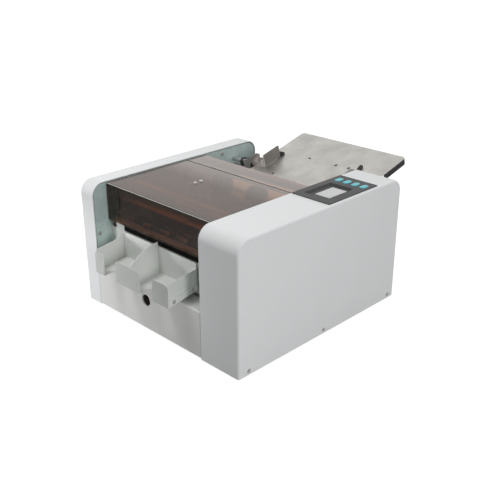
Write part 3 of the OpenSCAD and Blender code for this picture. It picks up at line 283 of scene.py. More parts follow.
def finish(piece, wall=0.0, soft=0.0, steps=2, side=-1.0):
    """Gives a sheet its thickness and every cut edge a small round, with even shading."""
    if wall:
        thick = piece.modifiers.new("wall", "SOLIDIFY")
        thick.thickness = wall / 1000
        thick.offset = side
        thick.use_even_offset = True
    if soft:
        edges = piece.modifiers.new("edges", "BEVEL")
        edges.width = soft / 1000
        edges.segments = steps
        edges.limit_method = "ANGLE"
        edges.angle_limit = math.radians(38)
    piece.modifiers.new("shading", "WEIGHTED_NORMAL").keep_sharp = True


def flat_face(bm, points):
    return bm.faces.new([bm.verts.new(p) for p in points])


def verts_in(geometry):
    return [g for g in geometry if isinstance(g, bmesh.types.BMVert)]


def sweep_edges(bm, edges, by):
    """Pulls edges along a vector and returns the new vertices' edges."""
    new = bmesh.ops.extrude_edge_only(bm, edges=edges)["geom"]
    moved = verts_in(new)
    bmesh.ops.translate(bm, verts=moved, vec=by)
    return [g for g in new if isinstance(g, bmesh.types.BMEdge) and all(v in moved for v in g.verts)]


def edges_at(bm, axis, value):
    return [e for e in bm.edges if all(abs(v.co[axis] - value) < 0.01 for v in e.verts)]


def round_corners(bm, geometry, radius, segments, affect="VERTICES"):
    """Rounds what an earlier step has left of the geometry."""
    bmesh.ops.bevel(bm, geom=[g for g in geometry if g.is_valid], offset=radius, offset_type="OFFSET",
                    segments=segments, profile=0.5, affect=affect, material=-1)


def fold_edges(bm, edges, radius, segments):
    round_corners(bm, edges, radius, segments, "EDGES")


SIDE_X = 200
RIM_X = (-163, 114)
CHEEK_H = 233
CHEEK_HALF_D = 205
COVER_T = 2.0
CORNER_R = 24
BEND_R = 4
powder_coat = coated("powder_coat", (0.765, 0.78, 0.785), 0.40, 1100.0, 0.07, (5.0, 0.012), (0.9, 0.91, 0.92), 0.25,
                     0.015)


def cheek_shell(x_side, x_rim):
    bm = bmesh.new()
    flat_face(bm, [(x_side, -CHEEK_HALF_D, 0), (x_side, CHEEK_HALF_D, 0),
                   (x_side, CHEEK_HALF_D, CHEEK_H), (x_side, -CHEEK_HALF_D, CHEEK_H)])
    round_corners(bm, [v for v in bm.verts if v.co.z > 1], CORNER_R, 12)
    outline = [e for e in bm.edges if max(v.co.z for v in e.verts) > 1]
    sweep_edges(bm, outline, (x_rim - x_side, 0, 0))
    fold_edges(bm, outline, BEND_R, 6)
    return bm


left_shell = make_piece("left_cheek", cheek_shell(-SIDE_X, RIM_X[0]), powder_coat, (-160, 0, 60))
finish(left_shell, COVER_T, 0.35)
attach(left_shell, "casing")
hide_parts("left_cover")

bm = cheek_shell(SIDE_X, RIM_X[1])
PANEL_CUT = (120, 192, 10.5, 132.5)
for value, normal in ((PANEL_CUT[0], (1, 0, 0)), (PANEL_CUT[1], (1, 0, 0)), (PANEL_CUT[2], (0, 1, 0)),
                      (PANEL_CUT[3], (0, 1, 0))):
    top = [f for f in bm.faces if f.calc_center_median().z > CHEEK_H - 0.1]
    geometry = top + list({e for f in top for e in f.edges}) + list({v for f in top for v in f.verts})
    bmesh.ops.bisect_plane(bm, geom=geometry, plane_co=Vector(normal) * value, plane_no=normal, dist=0.0001)
cut = [f for f in bm.faces if f.calc_center_median().z > CHEEK_H - 0.1
       and PANEL_CUT[0] < f.calc_center_median().x < PANEL_CUT[1]
       and PANEL_CUT[2] < f.calc_center_median().y < PANEL_CUT[3]]
bmesh.ops.delete(bm, geom=cut, context="FACES")
right_shell = make_piece("right_cheek", bm, powder_coat, (110, 0, 60))
finish(right_shell, COVER_T, 0.35)
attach(right_shell, "casing")
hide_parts("right_cover")

# -------- screws of the casing and the trays
# Plated pan-head screws with a cross recess: along the covers' lower edges, in the frame
# plates and in the trays' side flanges.

screw_metal = metal("screw_metal", (0.60, 0.59, 0.57), 0.30, (1, 1, 1), 500.0, 0.10, 0.05, (60.0, 0.12))


def screw_head(bm, matrix, radius, height):
    """Head with a cross recess: a grid drawn into a disc and domed, its cross pressed in."""
    cells = 7
    head = bmesh.ops.create_grid(bm, x_segments=cells, y_segments=cells, size=1.0)["verts"]
    faces = list({f for v in head for f in v.link_faces})
    step = 2.0 / cells
    cross = []
    for f in faces:
        c = f.calc_center_median()
        column, row = round((c.x + 1) / step - 0.5), round((c.y + 1) / step - 0.5)
        if (column == 3 and 1 <= row <= 5) or (row == 3 and 1 <= column <= 5):
            cross.append(f)
    for v in head:
        u, w = v.co.x, v.co.y
        u, w = u * math.sqrt(1 - w * w / 2), w * math.sqrt(1 - u * u / 2)
        v.co = Vector((u * radius, w * radius, height * (1 - 0.45 * (u * u + w * w) ** 1.5)))
    rim = [e for e in {e for f in faces for e in f.edges} if e.is_boundary]
    sweep_edges(bm, rim, (0, 0, -height * 0.55))
    pressed = bmesh.ops.extrude_face_region(bm, geom=cross)["geom"]
    bmesh.ops.translate(bm, verts=verts_in(pressed), vec=(0, 0, -height * 0.6))
    bmesh.ops.delete(bm, geom=[f for f in cross if f.is_valid], context="FACES_ONLY")
    new = [v for v in bm.verts if not v.tag]
    bmesh.ops.transform(bm, matrix=matrix, verts=new)
    for v in new:
        v.tag = True


def screws(name, places, radius, height):
    """places are (point, way the head faces)."""
    bm = bmesh.new()
    for point, way in places:
        turn = Vector((0, 0, 1)).rotation_difference(Vector(way)).to_matrix().to_4x4()
        screw_head(bm, Matrix.Translation(point) @ turn @ Matrix.Rotation(0.4, 4, "Z"), radius, height)
    for v in bm.verts:
        v.tag = False
    piece = make_piece(name, bm, screw_metal)
    finish(piece)
    return piece


SCREW_R, SCREW_H = 3.4, 1.2
COVER_SCREW_Y, COVER_SCREW_Z = (-182.45, 0, 186.55), 8
cover_screws = screws("cover_screw_heads", [((way * SIDE_X, y, COVER_SCREW_Z), (way, 0, 0))
                                            for way in (-1, 1) for y in COVER_SCREW_Y], SCREW_R, SCREW_H)
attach(cover_screws, "casing")
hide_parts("cover_screws")

FRAME_SCREW_R, FRAME_SCREW_H = 4.0, 1.4
FRAME_SCREW_X = ((-164, 1), (115, -1))
FRAME_SCREWS = ((-195.5, 138), (110, 221.5), (189, 150))
frame_screws = screws("frame_screw_heads", [((x, y, z), (way, 0, 0)) for x, way in FRAME_SCREW_X
                                            for y, z in FRAME_SCREWS], FRAME_SCREW_R, FRAME_SCREW_H)
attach(frame_screws, "casing")
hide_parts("frame_screws")

TRAY_FRONT = -235
TRAY_BACK = -172
TRAY_LEFT = -122.5
TRAY_RIGHT = 71.5
TRAY_LOW = 89
TRAY_RISE = math.tan(math.radians(10.5))


def tray_floor_z(y):
    return TRAY_LOW + (y - TRAY_FRONT) * TRAY_RISE


tray_screws = screws("tray_screw_heads", [((x, y, tray_floor_z(y) + 6), (way, 0, 0))
                                          for x, way in ((TRAY_LEFT - 1.2, -1), (TRAY_RIGHT + 1.2, 1))
                                          for y in (TRAY_FRONT + 12, TRAY_BACK - 11)],
                     SCREW_R, SCREW_H)
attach(tray_screws, "card_trays")
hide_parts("tray_screws")

# -------- rubber feet
# Four moulded rubber feet with a tapered side and a hollow for their screw.

rubber = coated("rubber", (0.022, 0.022, 0.023), 0.55, 700.0, 0.25, (30.0, 0.15), (0.06, 0.06, 0.062), 0.5, 0.0, 0.35)


def turned(bm, profile, steps=40, place=Matrix()):
    """Spins an (radius, height) profile round the Z axis and moves the result to its place."""
    before = set(bm.verts)
    verts = [bm.verts.new((r, 0, h)) for r, h in profile]
    edges = [bm.edges.new(pair) for pair in zip(verts, verts[1:])]
    bmesh.ops.spin(bm, geom=verts + edges, cent=(0, 0, 0), axis=(0, 0, 1), angle=math.tau, steps=steps,
                   use_merge=True)
    bmesh.ops.transform(bm, matrix=place, verts=[v for v in bm.verts if v not in before])


FOOT_X, FOOT_Y = 160, 169
FOOT_PROFILE = ((0, -1), (4, -1), (4, -3), (10.8, -3), (11.4, -2.6), (12, 0), (12, 1.9), (0, 1.9))
bm = bmesh.new()
for x in (-FOOT_X, FOOT_X):
    for y in (-FOOT_Y, FOOT_Y):
        turned(bm, FOOT_PROFILE, place=Matrix.Translation((x, y, 0)))
feet = make_piece("feet", bm, rubber)
finish(feet, soft=0.3)
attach(feet, "casing")
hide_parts("rubber_feet")

# -------- waste drawer
# Light grey sheet folded back at the top into the ledge below the trays, with a rolled
# finger hole; the pan behind it is zinc-plated.

DRAWER_X = (-162, 113)
DRAWER_Z = (1.5, 87)
DRAWER_FRONT = -205
LEDGE_BACK = -171
GRIP = (-25.5, 57, 10)
drawer_paint = coated("drawer_paint", (0.70, 0.705, 0.69), 0.42, 1000.0, 0.07, (7.0, 0.02), (0.88, 0.88, 0.87), 0.45)


def folded_sheet(bm, line, sweep):
    """Sheet whose section is the line of points, swept along a vector; returns its inner fold edges."""
    verts = [bm.verts.new(p) for p in line]
    edges = [bm.edges.new(pair) for pair in zip(verts, verts[1:])]
    sweep_edges(bm, edges, sweep)
    return [e for v in verts[1:-1] for e in v.link_edges if len(e.link_faces) == 2]


def cut_cell(bm, centre, along, up, cell):
    """Cuts a rectangle free in a flat face that looks along a direction, and returns its face."""
    centre, along, up = Vector(centre), Vector(along), Vector(up)

    def face_here():
        return next(f for f in bm.faces if abs(f.normal.dot(along)) > 0.99
                    and abs((f.calc_center_median() - centre).dot(along)) < 0.05
                    and bmesh.geometry.intersect_face_point(f, centre))

    for way, half in ((up.cross(along), cell[0]), (up, cell[1])):
        for s in (-half, half):
            face = face_here()
            bmesh.ops.bisect_plane(bm, geom=[face, *face.edges, *face.verts], plane_co=centre + way * s, plane_no=way,
                                   dist=0.0001)
    return face_here()


def pierce(bm, centre, along, up, radius, cell, stretch=0.0, cuts=7):
    """Opens a round hole, or an oval one stretched along up, and returns the hole's edges."""
    bm.normal_update()
    face = cut_cell(bm, centre, along, up, cell)
    sides = list(face.edges)
    bmesh.ops.delete(bm, geom=[face], context="FACES_ONLY")
    parts = bmesh.ops.subdivide_edges(bm, edges=sides, cuts=cuts)["geom_split"]
    outer = [g for g in parts if isinstance(g, bmesh.types.BMEdge)]
    along, up = Vector(along), Vector(up)
    turn = Matrix((up.cross(along), up, along)).transposed().to_4x4()
    step = 4 * (cuts + 1)
    ring = bmesh.ops.create_circle(bm, segments=step, radius=radius, cap_ends=False,
                                   matrix=Matrix.Rotation(math.pi / step, 4, "Z"))["verts"]
    for v in ring:
        v.co.y += math.copysign(stretch / 2, v.co.y)
    bmesh.ops.transform(bm, matrix=Matrix.Translation(centre) @ turn, verts=ring)
    hole = list({e for v in ring for e in v.link_edges})
    bmesh.ops.bridge_loops(bm, edges=outer + hole)
    return hole


bm = bmesh.new()
section = ((DRAWER_FRONT + 5, DRAWER_Z[0]), (DRAWER_FRONT, DRAWER_Z[0]), (DRAWER_FRONT, DRAWER_Z[1]),
           (LEDGE_BACK, DRAWER_Z[1]))
folds = folded_sheet(bm, [(DRAWER_X[0], y, z) for y, z in section], (DRAWER_X[1] - DRAWER_X[0], 0, 0))
fold_edges(bm, folds, 2.6, 5)
bmesh.ops.recalc_face_normals(bm, faces=bm.faces)
hole = pierce(bm, (GRIP[0], DRAWER_FRONT, GRIP[1]), (0, 1, 0), (0, 0, 1), GRIP[2] + 1.2, (16, 16))
lip = sweep_edges(bm, hole, (0, 3.4, 0))
bmesh.ops.scale(bm, vec=(0.9, 1, 0.9), space=Matrix.Translation((-GRIP[0], 0, -GRIP[1])),
                verts=list({v for e in lip for v in e.verts}))
fold_edges(bm, hole, 0.9, 3)
drawer_front = make_piece("drawer_face", bm, drawer_paint, (-25, -150, 40))
finish(drawer_front, 1.5, 0.3)
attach(drawer_front, "waste_drawer")
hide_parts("drawer_front")

# -------- card trays
# Sloping floor, front stops and side flanges folded from one 1.2 mm sheet, with side walls,
# a hooked back wall and a swept divider screwed and spot-welded to it.

TRAY_T = 1.2
STOP_TOP = 128.5
WALL_FRONT = 131
NOTCHES = ((-99.5, -65.5), (-1.0, 33.0))
NOTCH_BACK, NOTCH_R = -211, 16.9
SIDE_FLANGE = 12
BACK_TOP = 147.68
tray_paint = coated("tray_paint", (0.72, 0.74, 0.715), 0.36, 900.0, 0.06, (14.0, 0.03), (0.92, 0.92, 0.90), 0.9)

# Painted shade: the stops' front faces are made a little darker than the rest of the tray paint, to stand for the
# shade that falls on them
FRONT_SHADE = 0.26
tree = tray_paint.node_tree
front_line = (to_frame @ Vector((0, TRAY_FRONT + 0.5, 0))).y
tint(tree, ranged(tree, object_axes(tree)[1], front_line - 0.0003, front_line, FRONT_SHADE, 0.0), (0, 0, 0, 1))

bm = bmesh.new()
outline = [(TRAY_LEFT - TRAY_T, TRAY_FRONT, 0)]
for x0, x1 in NOTCHES:
    outline += [(x0, TRAY_FRONT, 0), (x0, NOTCH_BACK, 0), (x1, NOTCH_BACK, 0), (x1, TRAY_FRONT, 0)]
outline += [(TRAY_RIGHT + TRAY_T, TRAY_FRONT, 0), (TRAY_RIGHT + TRAY_T, TRAY_BACK, 0),
            (TRAY_LEFT - TRAY_T, TRAY_BACK, 0)]
flat_face(bm, outline)
round_corners(bm, [v for v in bm.verts if abs(v.co.y - NOTCH_BACK) < 0.1], NOTCH_R, 10)
for v in bm.verts:
    v.co.z = tray_floor_z(v.co.y) - TRAY_T
front = edges_at(bm, 1, TRAY_FRONT)
sides = edges_at(bm, 0, TRAY_RIGHT + TRAY_T) + edges_at(bm, 0, TRAY_LEFT - TRAY_T)
tops = sweep_edges(bm, front, (0, 0, STOP_TOP - tray_floor_z(TRAY_FRONT) + TRAY_T))
sweep_edges(bm, sides, (0, 0, SIDE_FLANGE))
round_corners(bm, list({v for e in tops for v in e.verts}), 6, 6)
fold_edges(bm, [e for e in front + sides if e.is_valid and len(e.link_faces) == 2], 1.6, 4)
tray_base = make_piece("tray_base", bm, tray_paint, (-25, -200, 140))
finish(tray_base, TRAY_T, 0.25)
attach(tray_base, "card_trays")
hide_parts("tray_floor")


def tray_wall(bm, x, top, cuts):
    """Upright sheet in the YZ plane; top gives its height from its share of the way to the front."""
    back, front = TRAY_BACK - TRAY_T, TRAY_FRONT + TRAY_T
    flat_face(bm, [(x, back, tray_floor_z(back)), (x, front, tray_floor_z(front)), (x, front, top(1)),
                   (x, back, top(0))])
    upper = [e for e in bm.edges if all(abs(v.co.x - x) < 0.01 and v.co.z > STOP_TOP - 5 for v in e.verts)]
    for v in verts_in(bmesh.ops.subdivide_edges(bm, edges=upper, cuts=cuts)["geom_inner"]):
        v.co.z = top((back - v.co.y) / (back - front))


def left_top(s):
    """Straight slope, then a short rise to a level part with a rounded rear corner."""
    rise = min(1.0, max(0.0, (0.30 - s) / 0.18))
    corner = max(0.0, 1 - s / 0.05)
    return WALL_FRONT + 8 * (1 - s) + 6.3 * rise * rise * (3 - 2 * rise) - 3.5 * corner ** 2


def right_top(s):
    return WALL_FRONT + 6 * (1 - s * s * (3 - 2 * s))


def divider_top(s):
    return WALL_FRONT + 25.6 * (1 - s ** 1.8)


WALL_FLANGE = 9
side_walls = []
for name, x, top, cuts, flange, inside in (
        ("tray_left_wall", TRAY_LEFT, left_top, 40, WALL_FLANGE, (-60, -220, 110)),
        ("tray_right_wall", TRAY_RIGHT, right_top, 14, -WALL_FLANGE, (20, -220, 110))):
    bm = bmesh.new()
    tray_wall(bm, x, top, cuts)
    rear = edges_at(bm, 1, TRAY_BACK - TRAY_T)
    sweep_edges(bm, rear, (flange, 0, 0))
    fold_edges(bm, rear, 1.4, 3)
    side_walls.append(make_piece(name, bm, tray_paint, inside))
    finish(side_walls[-1], TRAY_T, 0.25)
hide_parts("tray_side_walls")
for wall in side_walls:
    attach(wall, "card_trays")

bm = bmesh.new()
flat_face(bm, [(TRAY_LEFT, TRAY_BACK, tray_floor_z(TRAY_BACK)), (TRAY_RIGHT, TRAY_BACK, tray_floor_z(TRAY_BACK)),
               (TRAY_RIGHT, TRAY_BACK, BACK_TOP), (TRAY_LEFT, TRAY_BACK, BACK_TOP)])
round_corners(bm, [v for v in bm.verts if v.co.z > BACK_TOP - 1], 3, 5)
back_wall = make_piece("tray_back", bm, tray_paint, (-25, -230, 120))
finish(back_wall, TRAY_T, 0.25)
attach(back_wall, "card_trays")
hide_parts("tray_back_wall")

# Hooks that reach through the slot and down behind the fascia's 1.5 mm sheet
HOOK_IN, HOOK_W, HOOK_UP, HOOK_DROP = 36, 18, 31, 6
HOOK_REACH = 2.8 + 1.5 + 0.6 + TRAY_T
bm = bmesh.new()
for middle in (TRAY_LEFT + HOOK_IN, TRAY_RIGHT - HOOK_IN):
    x, y, z = middle - HOOK_W / 2, TRAY_BACK + HOOK_REACH, tray_floor_z(TRAY_BACK) + HOOK_UP
    folds = folded_sheet(bm, [(x, TRAY_BACK, z), (x, y, z), (x, y, z - HOOK_DROP)], (HOOK_W, 0, 0))
    fold_edges(bm, folds, 1.2, 3)
hooks = make_piece("tray_hooks", bm, tray_paint, (-25, -180, 90))
finish(hooks, TRAY_T, 0.2)
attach(hooks, "card_trays")

bm = bmesh.new()
tray_wall(bm, (TRAY_LEFT + TRAY_RIGHT) / 2, divider_top, 18)
divider = make_piece("tray_partition", bm, tray_paint, (-60, -200, 120))
finish(divider, TRAY_T, 0.25, side=0.0)
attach(divider, "card_trays")
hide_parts("tray_divider")

# -------- smoked hood
# Brown smoked acrylic, 3 mm thick: a front and a top plate glued with a polished edge,
# narrow flanges at both ends, a sealed hinge and a fixed strip behind it.

HOOD_X = (-160.5, 111.5)
HOOD_FRONT = -175
HOOD_TOP = 230
HOOD_LOW = 160.7
HOOD_REAR = 8.3
ACRYLIC = 3
SEAM = 0.05
FLANGE = 17
STRIP_Y = (16.1, 61.1)
HINGE = (11.5, 226)


def smoked(name, colour):
    """Tinted clear sheet with a hazier sheen towards the hood's rear."""
    material, tree, shader = new_material(name)
    haze = noise(tree, object_coordinates(tree), 35.0, 4.0, 0.6)
    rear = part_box("hood")[1].y
    fill(shader, {"Base Color": toned(tree, colour, 6.0, 0.04)["Color"],
                  "Roughness": ranged(tree, haze, 0.45, 0.75, 0.02, 0.07),
                  "Coat Weight": ranged(tree, object_axes(tree)[1], rear - 0.07, rear, 0.0, 0.7),
                  "Coat Roughness": 0.08, "Transmission Weight": 1.0, "IOR": 1.49})
    return material


smoked_acrylic = smoked("smoked_acrylic", (0.36, 0.18, 0.09))


def plate(bm, low, high, soft=0.4, steps=2):
    """Plate between two corners with rounded edges."""
    size = [b - a for a, b in zip(low, high)]
    middle = [(a + b) / 2 for a, b in zip(low, high)]
    place = Matrix.Translation(middle) @ Matrix.Diagonal((*size, 1))
    verts = bmesh.ops.create_cube(bm, size=1.0, matrix=place)["verts"]
    if soft:
        fold_edges(bm, list({e for v in verts for e in v.link_edges}), soft, steps)


bm = bmesh.new()
behind, below = HOOD_FRONT + ACRYLIC + SEAM, HOOD_TOP - ACRYLIC - SEAM
plate(bm, (HOOD_X[0], HOOD_FRONT, HOOD_LOW), (HOOD_X[1], HOOD_FRONT + ACRYLIC, HOOD_TOP))
plate(bm, (HOOD_X[0], behind, HOOD_TOP - ACRYLIC), (HOOD_X[1], HOOD_REAR, HOOD_TOP))
for x in (HOOD_X[0], HOOD_X[1] - ACRYLIC):
    plate(bm, (x, behind, HOOD_LOW), (x + ACRYLIC, HOOD_FRONT + FLANGE, below))
    plate(bm, (x, HOOD_FRONT + FLANGE + SEAM, HOOD_TOP - FLANGE), (x + ACRYLIC, HOOD_REAR, below))
hood = make_piece("smoked_hood", bm, smoked_acrylic)
finish(hood)
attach(hood, "hood_cover")
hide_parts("hood")

bm = bmesh.new()
plate(bm, (HOOD_X[0], STRIP_Y[0], HOOD_TOP - ACRYLIC), (HOOD_X[1], STRIP_Y[1], HOOD_TOP))
strip = make_piece("smoked_strip", bm, smoked_acrylic)
finish(strip)
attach(strip, "casing")
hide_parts("hood_rear_strip")

# Painted highlights: thin light strips along the front and beside the seam stand for the light that the polished
# edges catch
EDGE_X = (HOOD_X[0] + 1, HOOD_X[1] - 1)
EDGE_Z = (HOOD_TOP - 0.7, HOOD_TOP + 0.1)
edge_highlight_paint = coated("edge_highlight_paint", (0.50, 0.475, 0.44), 0.20, 600.0, 0.02, (60.0, 0.10), (0.9, 0.88, 0.85),
                       0.4, 0.0)
bm = bmesh.new()
plate(bm, (EDGE_X[0], HOOD_FRONT - 0.1, EDGE_Z[0]), (EDGE_X[1], HOOD_FRONT + 0.9, EDGE_Z[1]), 0.1)
plate(bm, (EDGE_X[0], HOOD_REAR - 0.9, EDGE_Z[0]), (EDGE_X[1], HOOD_REAR + 0.04, EDGE_Z[1]), 0.1)
edges = make_piece("hood_edge_highlights", bm, edge_highlight_paint)
finish(edges)
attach(edges, "hood_cover")

bm = bmesh.new()
plate(bm, (EDGE_X[0], STRIP_Y[0] - 0.08, EDGE_Z[0] - 0.1), (EDGE_X[1], STRIP_Y[0] + 1, EDGE_Z[1]), 0.1)
strip_edge_highlight = make_piece("strip_edge_highlight", bm, edge_highlight_paint)
finish(strip_edge_highlight)
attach(strip_edge_highlight, "casing")

# Dull brown seal over the hinge rod, glued to the hood's rear edge
SEAL_IN, SEAL_T = 3.5, 1
seal_vinyl = coated("seal_vinyl", (0.20, 0.17, 0.15), 0.35, 700.0, 0.05, (30.0, 0.08), (0.35, 0.32, 0.3), 0.4, 0.0)
bm = bmesh.new()
plate(bm, (HOOD_X[0] + SEAL_IN, HOOD_REAR + 0.06, HOOD_TOP - 0.5 - SEAL_T),
      (HOOD_X[1] - SEAL_IN, HINGE[0] + 1.9, HOOD_TOP - 0.5), 0.2)
seal = make_piece("hinge_seal", bm, seal_vinyl)
finish(seal)
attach(seal, "hood_cover")

# Hinge ears at both ends of the hood, black moulded knuckles round the rod
EAR_BORE, EAR_R = 2.55, 4
black_plastic = coated("black_plastic", (0.025, 0.025, 0.027), 0.42, 900.0, 0.12, (24.0, 0.10), (0.08, 0.08, 0.085),
                       0.5, 0.0)
bm = bmesh.new()
for x in (HOOD_X[0], HOOD_X[1] - ACRYLIC):
    turned(bm, [(EAR_BORE, 0), (EAR_R, 0), (EAR_R, ACRYLIC), (EAR_BORE, ACRYLIC), (EAR_BORE, 0)], 32,
           Matrix.Translation((x, *HINGE)) @ Matrix.Rotation(math.pi / 2, 4, "Y"))
    plate(bm, (x, HOOD_REAR + SEAM, HINGE[1] - 3.6), (x + ACRYLIC, HINGE[0] - 2.7, below), 0.3)
ears = make_piece("hinge_ears", bm, black_plastic)
finish(ears, soft=0.25)
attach(ears, "hood_cover")

# Painted shade: a black sheet behind the card slot stands for the dark gap there
SLOT_SHADE_X, SLOT_SHADE_Y, SLOT_SHADE_Z = (TRAY_LEFT - 5, 101), (-167.5, -166.7), (145.5, 169)
slot_shade_black = coated("slot_shade_black", (0.004, 0.004, 0.0045), 0.85, 400.0, 0.3, (80.0, 0.2), (0.01, 0.01, 0.01), 0.3,
                     0.2, 0.1)
bm = bmesh.new()
plate(bm, *zip(SLOT_SHADE_X, SLOT_SHADE_Y, SLOT_SHADE_Z), 0.3)
slot_shade = make_piece("slot_shade_sheet", bm, slot_shade_black)
finish(slot_shade)
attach(slot_shade, "casing")

# Two domed screws hold the magnet's bracket below the hood
HOOD_SCREWS = ((-47, -66), (-47, -52))
DOME = ((0, 2.5), (1.4, 2.35), (2.7, 1.7), (3.6, 0.7), (3.9, 0), (1.6, 0), (1.6, -5.8), (0, -5.8))
bm = bmesh.new()
for x, y in HOOD_SCREWS:
    turned(bm, DOME, 32, Matrix.Translation((x, y, HOOD_TOP)))
domes = make_piece("hood_screw_domes", bm, screw_metal)
finish(domes)
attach(domes, "hood_cover")
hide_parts("hood_screws")

# -------- control panel
# Moulded dark grey bezel clipped into the cheek, with a sloped recess round the display
# and four oval keys at the rear.

PANEL = (115.5, 196.5, 6, 137)
PANEL_TOP = 234.5
PANEL_SPLIT = 98
RECESS = (129, 179, 21, 92.5)
RECESS_FLOOR = 230.7
DISPLAY = (140, 173, 35.7, 85.7)
KEY_X = (130.6, 148.6, 166.6, 184.6)
KEY_Y = 114
KEY_R, KEY_STRETCH = 5.5, 8.0
panel_plastic = coated("panel_plastic", (0.038, 0.038, 0.040), 0.46, 1000.0, 0.15, (20.0, 0.08),
                       (0.16, 0.16, 0.165), 0.5, 0.0, 0.35)

bm = bmesh.new()
flat_face(bm, [(PANEL[0], PANEL[2], PANEL_TOP), (PANEL[1], PANEL[2], PANEL_TOP), (PANEL[1], PANEL[3], PANEL_TOP),
               (PANEL[0], PANEL[3], PANEL_TOP)])
round_corners(bm, list(bm.verts), 1.2, 4)
bmesh.ops.bisect_plane(bm, geom=[*bm.verts, *bm.edges, *bm.faces], plane_co=(0, PANEL_SPLIT, 0),
                       plane_no=(0, 1, 0))
for x in KEY_X:
    hole = pierce(bm, (x, KEY_Y, PANEL_TOP), (0, 0, 1), (0, 1, 0), KEY_R + 0.3, (8.5, 12), KEY_STRETCH)
    sweep_edges(bm, hole, (0, 0, -5))
bm.normal_update()
floor = cut_cell(bm, ((RECESS[0] + RECESS[1]) / 2, (RECESS[2] + RECESS[3]) / 2, PANEL_TOP), (0, 0, 1), (0, 1, 0),
                 ((RECESS[1] - RECESS[0]) / 2, (RECESS[3] - RECESS[2]) / 2))
bmesh.ops.inset_region(bm, faces=[floor], thickness=5)
bmesh.ops.translate(bm, verts=floor.verts, vec=(0, 0, RECESS_FLOOR - PANEL_TOP))
bmesh.ops.inset_region(bm, faces=[floor], thickness=1)
middle = floor.calc_center_median()
for v in floor.verts:
    v.co.x = DISPLAY[0] if v.co.x < middle.x else DISPLAY[1]
    v.co.y = DISPLAY[2] if v.co.y < middle.y else DISPLAY[3]
seat = list(floor.edges)
bmesh.ops.delete(bm, geom=[floor], context="FACES_ONLY")
sweep_edges(bm, seat, (0, 0, -1))
sweep_edges(bm, [e for e in edges_at(bm, 2, PANEL_TOP) if e.is_boundary], (0, 0, -1.5))
bm.normal_update()
bezel = make_piece("panel_bezel", bm, panel_plastic, (156, 70, 150))
finish(bezel, 1.0, 0.4, 3)
bezel.modifiers["wall"].use_even_offset = False
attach(bezel, "casing")
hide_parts("control_bezel")

# Display: pale reflective glass with a thin dark border, let into the recess
display_glass, tree, shader = new_material("display_glass")
where = object_axes(tree)
lcd_lo, lcd_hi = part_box("display_screen")
near_x, near_y = (
    maths(tree, "MINIMUM", maths(tree, "SUBTRACT", where[i], lcd_lo[i]), maths(tree, "SUBTRACT", lcd_hi[i], where[i]))
    for i in (0, 1))
frame_mask = ranged(tree, maths(tree, "MINIMUM", near_x, near_y), 0.0010, 0.0013)
pale = toned(tree, (0.50, 0.525, 0.505), 40.0, 0.05)["Color"]
fill(shader, {"Base Color": mixed(tree, frame_mask, (0.05, 0.05, 0.05, 1), pale), "Roughness": 0.12,
              "Coat Weight": 0.6, "Coat Roughness": 0.03})
bm = bmesh.new()
plate(bm, (DISPLAY[0], DISPLAY[2], RECESS_FLOOR - 1.5), (DISPLAY[1], DISPLAY[3], RECESS_FLOOR - 0.15), 0.3)
display = make_piece("display_pane", bm, display_glass)
finish(display)
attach(display, "casing")
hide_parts("display_screen")

# Keys: soft blue-green caps, slightly domed, that stand a little out of the bezel
KEY_LOW, KEY_TOP = 228, 234.6
key_plastic = coated("key_plastic", (0.10, 0.52, 0.60), 0.30, 900.0, 0.05, (60.0, 0.05), (0.14, 0.66, 0.74), 0.6, 0.0)
for number, x in enumerate(KEY_X, 1):
    bm = bmesh.new()
    ring = bmesh.ops.create_circle(bm, segments=40, radius=KEY_R, cap_ends=True,
                                   matrix=Matrix.Rotation(math.pi / 40, 4, "Z"))["verts"]
    for v in ring:
        v.co += Vector((x, KEY_Y + math.copysign(KEY_STRETCH / 2, v.co.y), KEY_LOW))
    cap = list(bm.faces)
    made = bmesh.ops.extrude_face_region(bm, geom=cap)["geom"]
    cap = [g for g in made if isinstance(g, bmesh.types.BMFace)]
    bmesh.ops.translate(bm, verts=cap[0].verts, vec=(0, 0, KEY_TOP - KEY_LOW))
    for inset, rise in ((0.35, 0.45), (0.7, 0.3), (1.4, 0.15)):
        bmesh.ops.inset_region(bm, faces=cap, thickness=inset, use_even_offset=True)
        bmesh.ops.translate(bm, verts=cap[0].verts, vec=(0, 0, rise))
    key = make_piece("key_cap_%d" % number, bm, key_plastic)
    finish(key)
    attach(key, "key_%d" % number)
    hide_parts("button_%d" % number)

# -------- paper table
# Ground stainless sheet with a folded rim, rising to the rear on two brackets; it widens
# behind the right cheek.

TABLE_START = (28, 180.44)
TABLE_TILT = math.radians(15)
TABLE_STEP, TABLE_LEN, HOLES_S = ((y - TABLE_START[0]) / math.cos(TABLE_TILT) for y in (200, 276, 199))
TABLE_LEFT, TABLE_NARROW, TABLE_WIDE = -93, 112, 160
TABLE_RIM = 12
HOLES_X = (-8, 57, 86)
on_table = Matrix.Translation((0, *TABLE_START)) @ Matrix.Rotation(TABLE_TILT, 4, "X")
stainless = metal("stainless", (0.545, 0.53, 0.50), 0.40, (1, 0.035, 0.035), 260.0, 0.13, 0.06, (24.0, 0.15), 0.35)

